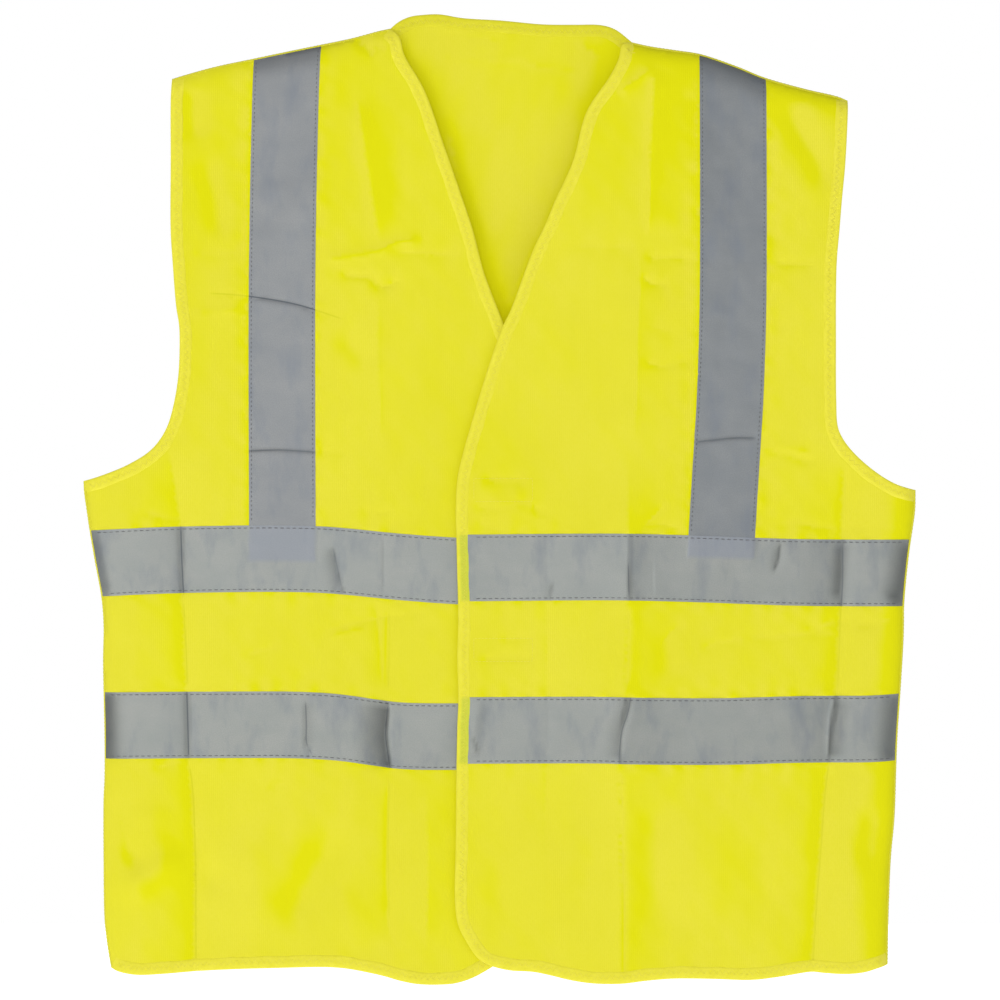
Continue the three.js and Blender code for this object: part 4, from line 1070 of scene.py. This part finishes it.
def band_strip(name, which, level, x0_line, x1_line, material, nodes, body):
    """A horizontal tape between two end lines, each a function of z giving x."""
    line = BAND_SPLINES[which + "_" + level]
    nv = 15
    v = np.linspace(-TAPE / 2, TAPE / 2, nv)
    # the ends follow the edges of the garment, so each row is spread between them
    ends = []
    for k in range(nv):
        xa, xb = line[0, 0], line[-1, 0]
        for _ in range(5):
            xa = x0_line(float(np.interp(xa, line[:, 0], line[:, 1])) + v[k])
            xb = x1_line(float(np.interp(xb, line[:, 0], line[:, 1])) + v[k])
        ends.append((xa, xb))
    # finer near the fold line
    a, b = ends[nv // 2]
    u = np.arange(a, b + 0.5, 1.9)
    if which != "back":
        mid, d, n = into_flap(which)
        fx = mid[0] + d[0] * (line[len(line) // 2, 1] - mid[1]) / d[1]
        k = np.sign(n[0])
        lo, hi = sorted((fx - k * 2.0, fx + k * (FOLD_CLEAR[1] + 4.0)))
        u = np.r_[u[(u < lo) | (u > hi)], np.arange(lo, hi, 0.95)]
    u = np.sort((np.clip(u, a, b) - a) / (b - a))
    u[0], u[-1] = 0.0, 1.0
    u = u[np.r_[True, np.diff(u) > 1e-4]]
    nu = len(u)
    pts = np.zeros((nu, nv, 2))
    for k, (a, b) in enumerate(ends):
        x = a + (b - a) * u
        pts[:, k, 0] = x
        pts[:, k, 1] = np.interp(x, line[:, 0], line[:, 1]) + v[k]
    flat = pts.reshape(-1, 2)
    lift = lift_for(which, flat) if level == "upper" else np.zeros(len(flat))
    top = np.c_[flat[:, 0], layer_y(which, flat, 0.50, 0.34 * lift), flat[:, 1]]
    low = np.c_[flat[:, 0], layer_y(which, flat, -0.12, 0.30 * lift), flat[:, 1]]
    ob = slab(name, top, low, nu, nv, flat, material, lift, folds_in(which, flat), fold_line_shade_in(which, flat))
    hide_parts(*nodes)
    join_body(ob, body)
    return ob


def tape_strip(name, which, side, top_line, material, nodes, body):
    """A vertical tape from the shoulder seam down to just under the upper band."""
    q = TAPE_SPLINES[side]
    nu = 27
    u = np.linspace(-TAPE / 2, TAPE / 2, nu)
    cols = []
    for k in range(nu):
        x_top = np.interp(-30, q[::-1, 1], q[::-1, 0]) + u[k]
        z_top = top_line(x_top)
        z_low = float(band_y(which + "_upper", np.array([x_top]))[0]) + TAPE / 2 - 2.0
        cols.append((z_top, z_low))
    base = np.linspace(0, 1, int(abs(cols[0][0] - cols[0][1]) / 3.2))
    mid = cols[nu // 2]
    extra = []
    for zc in TAPE_FOLDS.get(which + side, ()):
        t = (mid[0] - zc) / (mid[0] - mid[1])
        extra += list(t + np.arange(-5, 5.01, 0.8) / (mid[0] - mid[1]))
    t = np.unique(np.round(np.r_[base, extra], 5))
    t = t[(t >= 0) & (t <= 1)][::-1]
    nv = len(t)
    pts = np.zeros((nu, nv, 2))
    for k, (a, b) in enumerate(cols):
        z = a + (b - a) * t
        pts[k, :, 1] = z
        pts[k, :, 0] = np.interp(z, q[::-1, 1], q[::-1, 0]) + u[k]
    flat = pts.reshape(-1, 2)
    top = np.c_[flat[:, 0], layer_y(which, flat, 0.46), flat[:, 1]]
    low = np.c_[flat[:, 0], layer_y(which, flat, -0.12), flat[:, 1]]
    ob = slab(name, top, low, nu, nv, flat, material, np.zeros(len(flat)), folds_in(which, flat), fold_line_shade_in(which, flat))
    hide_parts(*nodes)
    join_body(ob, body)
    return ob


def row_of_stitches(which, pts, pitch, dash, out, lifted=False):
    """Starts and ends of a row of stitches along a line of points [x, z]."""
    line = evenly(pts, 0.5)
    s = lengths(line)
    starts = np.arange(pitch * 0.5, s[-1] - pitch, pitch)
    a = np.c_[np.interp(starts, s, line[:, 0]), np.interp(starts, s, line[:, 1])]
    b = np.c_[np.interp(starts + dash, s, line[:, 0]), np.interp(starts + dash, s, line[:, 1])]
    la = 0.34 * lift_for(which, a) if lifted else 0.0
    lb = 0.34 * lift_for(which, b) if lifted else 0.0
    return (np.c_[a[:, 0], layer_y(which, a, out, la), a[:, 1]], np.c_[b[:, 0], layer_y(which, b, out, lb), b[:, 1]])


def under_shoulder(p):
    """Keeps the ends of a binding below the shoulder seam."""
    p = p.copy()
    for side in ("left", "right"):
        q = E[side]["shoulder"]
        q = q[np.argsort(q[:, 0])]
        m = (p[:, 0] > q[0, 0]) & (p[:, 0] < q[-1, 0])
        p[m, 1] = np.minimum(p[m, 1], np.interp(p[m, 0], q[:, 0], q[:, 1]) - 0.5)
    return p


def binding(name, which, line, turn, width, material, nodes, body, tint=True):
    """A folded edge binding along a line, turned round the cut edge of the cloth, with the ripple that its stitches pull in it."""
    line = evenly(line, 1.5)
    s = lengths(line)
    n2 = normals(line, 3) * turn
    # folded profile: u inwards from the edge, h from the cloth's middle
    prof = [(9.15, 0.21), (8.6, 0.56), (7.2, 0.90), (5.4, 0.80), (3.4, 0.98), (1.5, 0.98), (0.4, 0.62), (0.0, 0.0),
            (0.4, -0.62), (1.5, -0.98), (3.4, -0.98), (5.4, -0.80), (7.2, -0.90), (8.6, -0.56), (9.15, -0.21)]
    ns, npf = len(line), len(prof)
    rings = np.zeros((ns, npf, 3))
    uv = np.zeros((ns, npf, 2))
    rng = np.random.default_rng(len(name) * 7 + int(abs(line[0, 0])))
    ph = rng.uniform(0, 6.28)
    ripple = 0.05 * np.sin(2 * math.pi * s / 4.5 + ph) + 0.05 * np.sin(2 * math.pi * s / 11.3 + 1.0)
    wobble = 0.22 * np.sin(2 * math.pi * s / 27.0 + ph) + 0.08 * np.sin(2 * math.pi * s / 9.1)
    mid = line + n2 * width * 0.5
    base = smooth_height(which, mid)
    edge = smooth_height(which, line + n2 * 1.0)
    inner = smooth_height(which, line + n2 * width)
    for k, (u, h) in enumerate(prof):
        w = u * width / 9.0
        w = w + (wobble if u > 8 else wobble * 0.35 * (u > 0.2))
        p = under_shoulder(line + n2 * w[:, None])
        f = u / 9.0
        y = np.where(f < 0.5, edge + (base - edge) * (f * 2), base + (inner - base) * (f * 2 - 1))
        hh = h * (1 + ripple * (0.3 + 0.7 * (2.0 < u) * (u < 8.9)))
        hh = hh * (0.35 + 0.65 * ease(np.minimum(s, s[-1] - s) / 7.0))
        rings[:, k] = np.c_[p[:, 0], y - hh, p[:, 1]]
        uv[:, k, 0] = s
        uv[:, k, 1] = u + (20 if h < 0 else 0)
    t = None
    if tint:
        # the bands under the binding show through it
        d = np.full(ns, 99.0)
        for lv in ("upper", "lower"):
            d = np.minimum(d, np.abs(line[:, 1] - band_y(which + "_" + lv, line[:, 0])) - TAPE / 2)
        t = np.repeat(ease((1.0 - d) / 2.5)[:, None], npf, 1)
        lap = np.array([0.0 if h < 0 else ease((u - 1.0) / 2.0) for u, h in prof])
        t = t * lap[None]
        if which == "back" or "armhole" in name:
            t = t * 0
    else:
        t = np.zeros((ns, npf))
    ob = sweep(name, rings, uv, material, t)
    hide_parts(*nodes)
    join_body(ob, body)
    # the zigzag that sews it, front and back
    step = 1.15
    zl = evenly(line, step)
    zn = normals(zl, 3) * turn
    k = np.arange(len(zl))
    tri = np.abs(((k / 4.0) % 1.0) * 2 - 1)
    u = width * (0.40 + 0.36 * tri)
    p = under_shoulder(zl + zn * u[:, None])
    yc = smooth_height(which, p)
    obs = [ob]
    for face, o in (("outside", -1.0), ("inside", 1.0)):
        path = np.c_[p[:, 0], yc + o * 1.08, p[:, 1]][3:-3]
        z = zigzag(name + "_stitch_" + face, path, 0.15, o, M_YARN, sides=4)
        join_body(z, body)
        obs.append(z)
    return obs


def seam_roll(name, side, key, material, nodes, body="garment", width=2.4, trim=(0, 0)):
    """The overlocked seam where front and back are sewn together: a narrow rolled edge."""
    line = evenly(E[side][key], 1.4)
    s = lengths(line)
    keep = (s >= trim[0]) & (s <= s[-1] - trim[1])
    line, s = line[keep], s[keep]
    n2 = normals(line, 3) * E[side]["turn"]
    ang = np.linspace(0, 2 * math.pi, 11)[:-1]
    ripple = 1 + 0.10 * np.sin(2 * math.pi * s / 2.9)
    # thick enough to fill the space between the two layers it joins
    rim = line + n2 * 1.7
    lo = height(side, rim, False) + CLOTH / 2
    hi = height("back", rim, False) - CLOTH / 2
    mid, half = (lo + hi) / 2, np.clip((hi - lo) * 0.55 + 0.10, 0.9, 2.8)
    rings = np.zeros((len(line), len(ang), 3))
    uv = np.zeros((len(line), len(ang), 2))
    for k, a in enumerate(ang):
        u = width / 2 - width / 2 * math.cos(a) * ripple
        p = line + n2 * u[:, None]
        rings[:, k] = np.c_[p[:, 0], mid + half * math.sin(a) * (0.4 + 0.6 * ripple), p[:, 1]]
        uv[:, k, 0] = s
        uv[:, k, 1] = a * 1.2
    ob = sweep(name, rings, uv, material, np.zeros((len(line), len(ang))))
    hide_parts(*nodes)
    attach(ob, body)
    return ob


def pad(name, which, cx, cz, w, h, thick, sign, material, node, body):
    """A hook or loop pad with rounded corners and a sewn border, on the face of the sheet that sign gives."""
    nu, nv = 45, 19
    u, v = np.meshgrid(np.linspace(-1, 1, nu), np.linspace(-1, 1, nv), indexing="ij")
    r = 2.2
    x = u * w / 2
    z = v * h / 2
    dx = np.clip(np.abs(x) - (w / 2 - r), 0, r)
    dz = np.clip(np.abs(z) - (h / 2 - r), 0, r)
    k = np.sqrt(dx**2 + dz**2)
    sc = np.where(k > r, r / np.maximum(k, 1e-6), 1.0)
    x = np.sign(x) * (np.minimum(np.abs(x), w / 2 - r) + dx * sc)
    z = np.sign(z) * (np.minimum(np.abs(z), h / 2 - r) + dz * sc)
    border = np.minimum(w / 2 - np.abs(x), h / 2 - np.abs(z))
    crown = thick * (0.45 + 0.55 * ease(border / 1.6)) - 0.35 * np.exp(-(((border - 2.0) / 0.8) ** 2))
    flat = np.c_[(x + cx).ravel(), (z + cz).ravel()]
    y0 = smooth_height(which, flat)
    top = np.c_[flat[:, 0], y0 + sign * (0.30 + crown.ravel()), flat[:, 1]]
    low = np.c_[flat[:, 0], y0 + sign * 0.28, flat[:, 1]]
    ob = slab(name, top, low, nu, nv, flat, material, np.zeros(len(flat)))
    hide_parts(node)
    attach(ob, body)
    c = np.array([[-1, -1], [1, -1], [1, 1], [-1, 1], [-1, -1]], float) * [w / 2 - 2.0, h / 2 - 2.0] + [cx, cz]
    line = evenly(c, 0.5)
    s = lengths(line)
    st = np.arange(0.6, s[-1] - 1, 2.6)
    a = np.c_[np.interp(st, s, line[:, 0]), np.interp(st, s, line[:, 1])]
    b = np.c_[np.interp(st + 1.7, s, line[:, 0]), np.interp(st + 1.7, s, line[:, 1])]
    off = sign * (0.30 + thick - 0.35 + 0.02)
    ob2 = threads(name + "_stitches", np.c_[a[:, 0], smooth_height(which, a) + off, a[:, 1]],
                  np.c_[b[:, 0], smooth_height(which, b) + off, b[:, 1]], 0.10, 0.17, sign, M_YARN)
    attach(ob2, body)
    return ob


# where each sheet's edges are, as functions that give x at a height or z at an x
def x_on(line, z):
    return float(np.interp(z, line[::-1, 1], line[::-1, 0])) if line[0, 1] > line[-1, 1] else float(np.interp(z, line[:, 1], line[:, 0]))


def z_on(line, x):
    q = line[np.argsort(line[:, 0])]
    return float(np.interp(x, q[:, 0], q[:, 1]))


EDGE = 1.6  # the cloth stops this far inside the outline, within its binding

# cloth
FRONT_LOOPS, SHEETS = {}, {}
for side in ("left", "right"):
    e = E[side]
    whole = closed_loop([e["shoulder"], e["armhole"], e["side"], e["bound"]])
    whole = evenly(np.vstack([whole, whole[:1]]), 3.0)[:-1]
    FRONT_LOOPS[side] = whole
    loop = inset_loop(whole, EDGE, e["turn"])
    guides = [c[1] for c in CREASES_SHARED + (CREASES_LEFT if side == "left" else CREASES_RIGHT) if c[0] != "bump"]
    for lv in ("upper", "lower"):
        q = BAND_SPLINES[side + "_" + lv]
        guides += [list(map(list, q + [0, TAPE / 2 + 0.8])), list(map(list, q - [0, TAPE / 2 + 0.8]))]
    q = TAPE_SPLINES[side]
    guides += [list(map(list, q + [k * (TAPE / 2 + 0.8), 0])) for k in (-1, 1)]
    mid, d, n = into_flap(side)
    for k in np.arange(FOLD_CLEAR[0], FOLD_CLEAR[1] + 0.1, 1.6):
        guides.append([list(mid + n * k - d * 380), list(mid + n * k + d * 380)])
    SHEETS[side] = cloth(side + "_front_cloth", side, loop, guides, 3.0, M_CLOTH)
    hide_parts(side + "_front_panel", side + "_flap_panel")
    blend_flap(SHEETS[side])

l, r = E["left"], E["right"]
back_whole = closed_loop([BACK_NECK_LINE, l["shoulder"], l["armhole"], l["side"], BACK_HEM_LINE,
                          r["side"][::-1], r["armhole"][::-1], r["shoulder"][::-1]])
back_whole = evenly(np.vstack([back_whole, back_whole[:1]]), 3.6)[:-1]
guides = []
for lv in ("upper", "lower"):
    q = BAND_SPLINES["back_" + lv]
    guides += [list(map(list, q + [0, TAPE / 2 + 0.8])), list(map(list, q - [0, TAPE / 2 + 0.8]))]
SHEETS["back"] = cloth("back_cloth", "back", inset_loop(back_whole, EDGE, -1.0), guides, 3.8, M_CLOTH)
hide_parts("back_panel")
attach(SHEETS["back"], "garment")

WITH = {"left": [], "right": [], "back": []}

# tapes and their stitching
for side in ("left", "right"):
    e = E[side]
    sgn = 1 if side == "left" else -1
    front = evenly(e["bound"], 3.0)
    up = front[(front[:, 1] < -150) & (np.abs(front[:, 0]) < 60)]
    up = up[np.argsort(up[:, 1])]
    bound_x = lambda z, up=up: float(np.interp(z, up[:, 1], up[:, 0]))
    seam_x = lambda z, e=e: x_on(e["side"], z)
    for lv in ("upper", "lower"):
        a = (lambda z: bound_x(z) + 7.2) if side == "left" else (lambda z: seam_x(z) + 0.6)
        b = (lambda z: seam_x(z) - 0.6) if side == "left" else (lambda z: bound_x(z) - 7.2)
        ob = band_strip(f"{side}_{lv}_band_tape", side, lv, a, b, M_BAND,
                        [f"{side}_{lv}_band", f"{side}_{lv}_band_flap"], side)
        WITH[side].append(ob)
        starts, ends = [], []
        for k in (-1, 1):
            q = BAND_SPLINES[side + "_" + lv] + [0, k * (TAPE / 2 - 1.9)]
            zc = q[len(q) // 2, 1]
            xa, xb = a(zc), b(zc)
            q = q[(q[:, 0] > xa + 1.0 + 1.5 * (side == "left")) & (q[:, 0] < xb - 1.0 - 1.5 * (side == "right"))]
            s0, s1 = row_of_stitches(side, q, 4.6, 2.9, 0.50, lv == "upper")
            starts.append(s0)
            ends.append(s1)
        st = threads(f"{side}_{lv}_band_stitches", np.vstack(starts), np.vstack(ends), 0.16, 0.30, -1.0, M_THREAD)
        blend_flap(st)
        WITH[side].append(st)
    sh = lambda x, e=e: z_on(e["shoulder"], x) - 1.4
    for which, body in ((side, "garment"), ("back", "garment")):
        nm = f"{side}_{'back' if which == 'back' else 'front'}_tape"
        ob = tape_strip(nm + "_strip", which, side, sh, M_TAPE[side], [nm], body)
        WITH[which].append(ob)
        starts, ends = [], []
        for k in (-1, 1):
            q = TAPE_SPLINES[side] + [k * (TAPE / 2 - 1.9), 0]
            zt = sh(q[0, 0])
            zl = float(band_y(which + "_upper", np.array([q[-1, 0]]))[0]) + TAPE / 2 + 1.0
            q = evenly(q, 1.0)
            q = q[(q[:, 1] < zt - 1) & (q[:, 1] > zl)]
            s0, s1 = row_of_stitches(which, q, 3.4, 1.6, 0.46)
            starts.append(s0)
            ends.append(s1)
        st = threads(nm + "_stitches", np.vstack(starts), np.vstack(ends), 0.16, 0.30, 1.0 if which == "back" else -1.0, M_THREAD)
        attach(st, "garment")
        WITH[which].append(st)
for lv in ("upper", "lower"):
    a = lambda z: x_on(r["side"], z) + 0.6
    b = lambda z: x_on(l["side"], z) - 0.6
    ob = band_strip(f"back_{lv}_band_tape", "back", lv, a, b, M_BAND, [f"back_{lv}_band"], "garment")
    WITH["back"].append(ob)
    starts, ends = [], []
    for k in (-1, 1):
        q = BAND_SPLINES["back_" + lv] + [0, k * (TAPE / 2 - 1.9)]
        zc = q[len(q) // 2, 1]
        q = q[(q[:, 0] > a(zc) + 1.0) & (q[:, 0] < b(zc) - 1.0)]
        s0, s1 = row_of_stitches("back", q, 4.6, 2.9, 0.50, lv == "upper")
        starts.append(s0)
        ends.append(s1)
    st = threads(f"back_{lv}_band_stitches", np.vstack(starts), np.vstack(ends), 0.16, 0.30, 1.0, M_THREAD)
    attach(st, "garment")
    WITH["back"].append(st)

# edge bindings
for side in ("left", "right"):
    e = E[side]
    WITH[side] += binding(side + "_edge_binding", side, e["bound"], e["turn"], BIND, M_BIND,
                          [side + "_flap_binding", side + "_hem_binding"], side)
    WITH[side] += binding(side + "_armhole_front_edge", side, e["armhole"], e["turn"], BIND, M_BIND,
                          [side + "_armhole_front_binding"], "garment")
    WITH["back"] += binding(side + "_armhole_back_edge", "back", e["armhole"], e["turn"], BIND, M_BIND,
                            [side + "_armhole_back_binding"], "garment")
    seam_roll(side + "_side_seam_roll", side, "side", M_SEAM, [side + "_side_seam"])
    seam_roll(side + "_shoulder_seam_roll", side, "shoulder", M_SEAM, [side + "_shoulder_seam"])
WITH["back"] += binding("back_neck_edge", "back", BACK_NECK_LINE, -1.0, BIND, M_NECK_SHADED, ["back_neck_binding"], "garment", tint=False)
WITH["back"] += binding("back_hem_edge", "back", BACK_HEM_LINE, -1.0, BIND, M_BIND, ["back_hem_binding"], "garment", tint=False)

# hook and loop pads, and the stitching of the hook pads that shows on the face of the over front
for lv, z in (("upper", -354.2), ("lower", -474.5)):
    pad(lv + "_hook_patch", "left", 0.8, z, 44, 18, 1.15, 1.0, M_HOOK, lv + "_hook_pad", "left_flap")
    pad(lv + "_loop_patch", "right", 0.8, z, 44, 18, 1.15, -1.0, M_LOOP, lv + "_loop_pad", "right_flap")
    c = np.array([[-1, -1], [1, -1], [1, 1], [-1, 1], [-1, -1]], float) * [22.0, 8.7] + [1.6, z]
    s0, s1 = row_of_stitches("left", c, 2.6, 1.9, 0.26)
    ob = threads(lv + "_pad_outline_stitches", s0, s1, 0.06, 0.17, -1.0, M_YARN)
    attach(ob, "left_flap")

# ---------------------------------------------------------------- stage, lights, camera

floor_me = bpy.data.meshes.new("studio_floor")
fz = -0.800
floor_me.from_pydata([(-3.2, -3.4, fz), (3.2, -3.4, fz), (3.2, 1.1, fz), (-3.2, 1.1, fz)], [], [(0, 1, 2, 3)])
floor = bpy.data.objects.new("studio_floor", floor_me)
bpy.context.scene.collection.objects.link(floor)
floor_me.materials.append(M_FLOOR)

world = bpy.data.worlds.new("studio")
bpy.context.scene.world = world
world.use_nodes = True
wt = world.node_tree
wt.nodes.clear()
bg_seen, bg_light = wt.nodes.new("ShaderNodeBackground"), wt.nodes.new("ShaderNodeBackground")
bg_seen.inputs[0].default_value = (1, 1, 1, 1)
bg_seen.inputs[1].default_value = 1.0
bg_light.inputs[0].default_value = WORLD_TINT
bg_light.inputs[1].default_value = WORLD_LEVEL
path, mixer, wout = wt.nodes.new("ShaderNodeLightPath"), wt.nodes.new("ShaderNodeMixShader"), wt.nodes.new("ShaderNodeOutputWorld")
wt.links.new(path.outputs["Is Camera Ray"], mixer.inputs[0])
wt.links.new(bg_light.outputs[0], mixer.inputs[1])
wt.links.new(bg_seen.outputs[0], mixer.inputs[2])
wt.links.new(mixer.outputs[0], wout.inputs[0])


def area_light(name, at, aim, size, power, colour=(1, 1, 1)):
    d = bpy.data.lights.new(name, "AREA")
    d.shape = "RECTANGLE"
    d.size, d.size_y = size
    d.energy = power
    d.color = colour
    o = bpy.data.objects.new(name, d)
    bpy.context.scene.collection.objects.link(o)
    v = np.array(aim, float) - np.array(at, float)
    o.location = at
    from mathutils import Vector
    o.rotation_euler = Vector(v).to_track_quat("-Z", "Y").to_euler()
    return o


for spec in LIGHTS:
    area_light(*spec)

cam_data = bpy.data.cameras.new("photo_camera")
cam_data.sensor_width = 36.0
cam_data.lens = 143.6
cam_data.clip_start = 0.05
cam_data.clip_end = 60
cam = bpy.data.objects.new("photo_camera", cam_data)
bpy.context.scene.collection.objects.link(cam)
cam.location = (-0.00075, -3.0175, -0.36171)
cam.rotation_euler = (math.pi / 2, 0, 0)
bpy.context.scene.camera = cam
bpy.context.scene.view_settings.view_transform = "Standard"
bpy.context.scene.view_settings.look = "None"
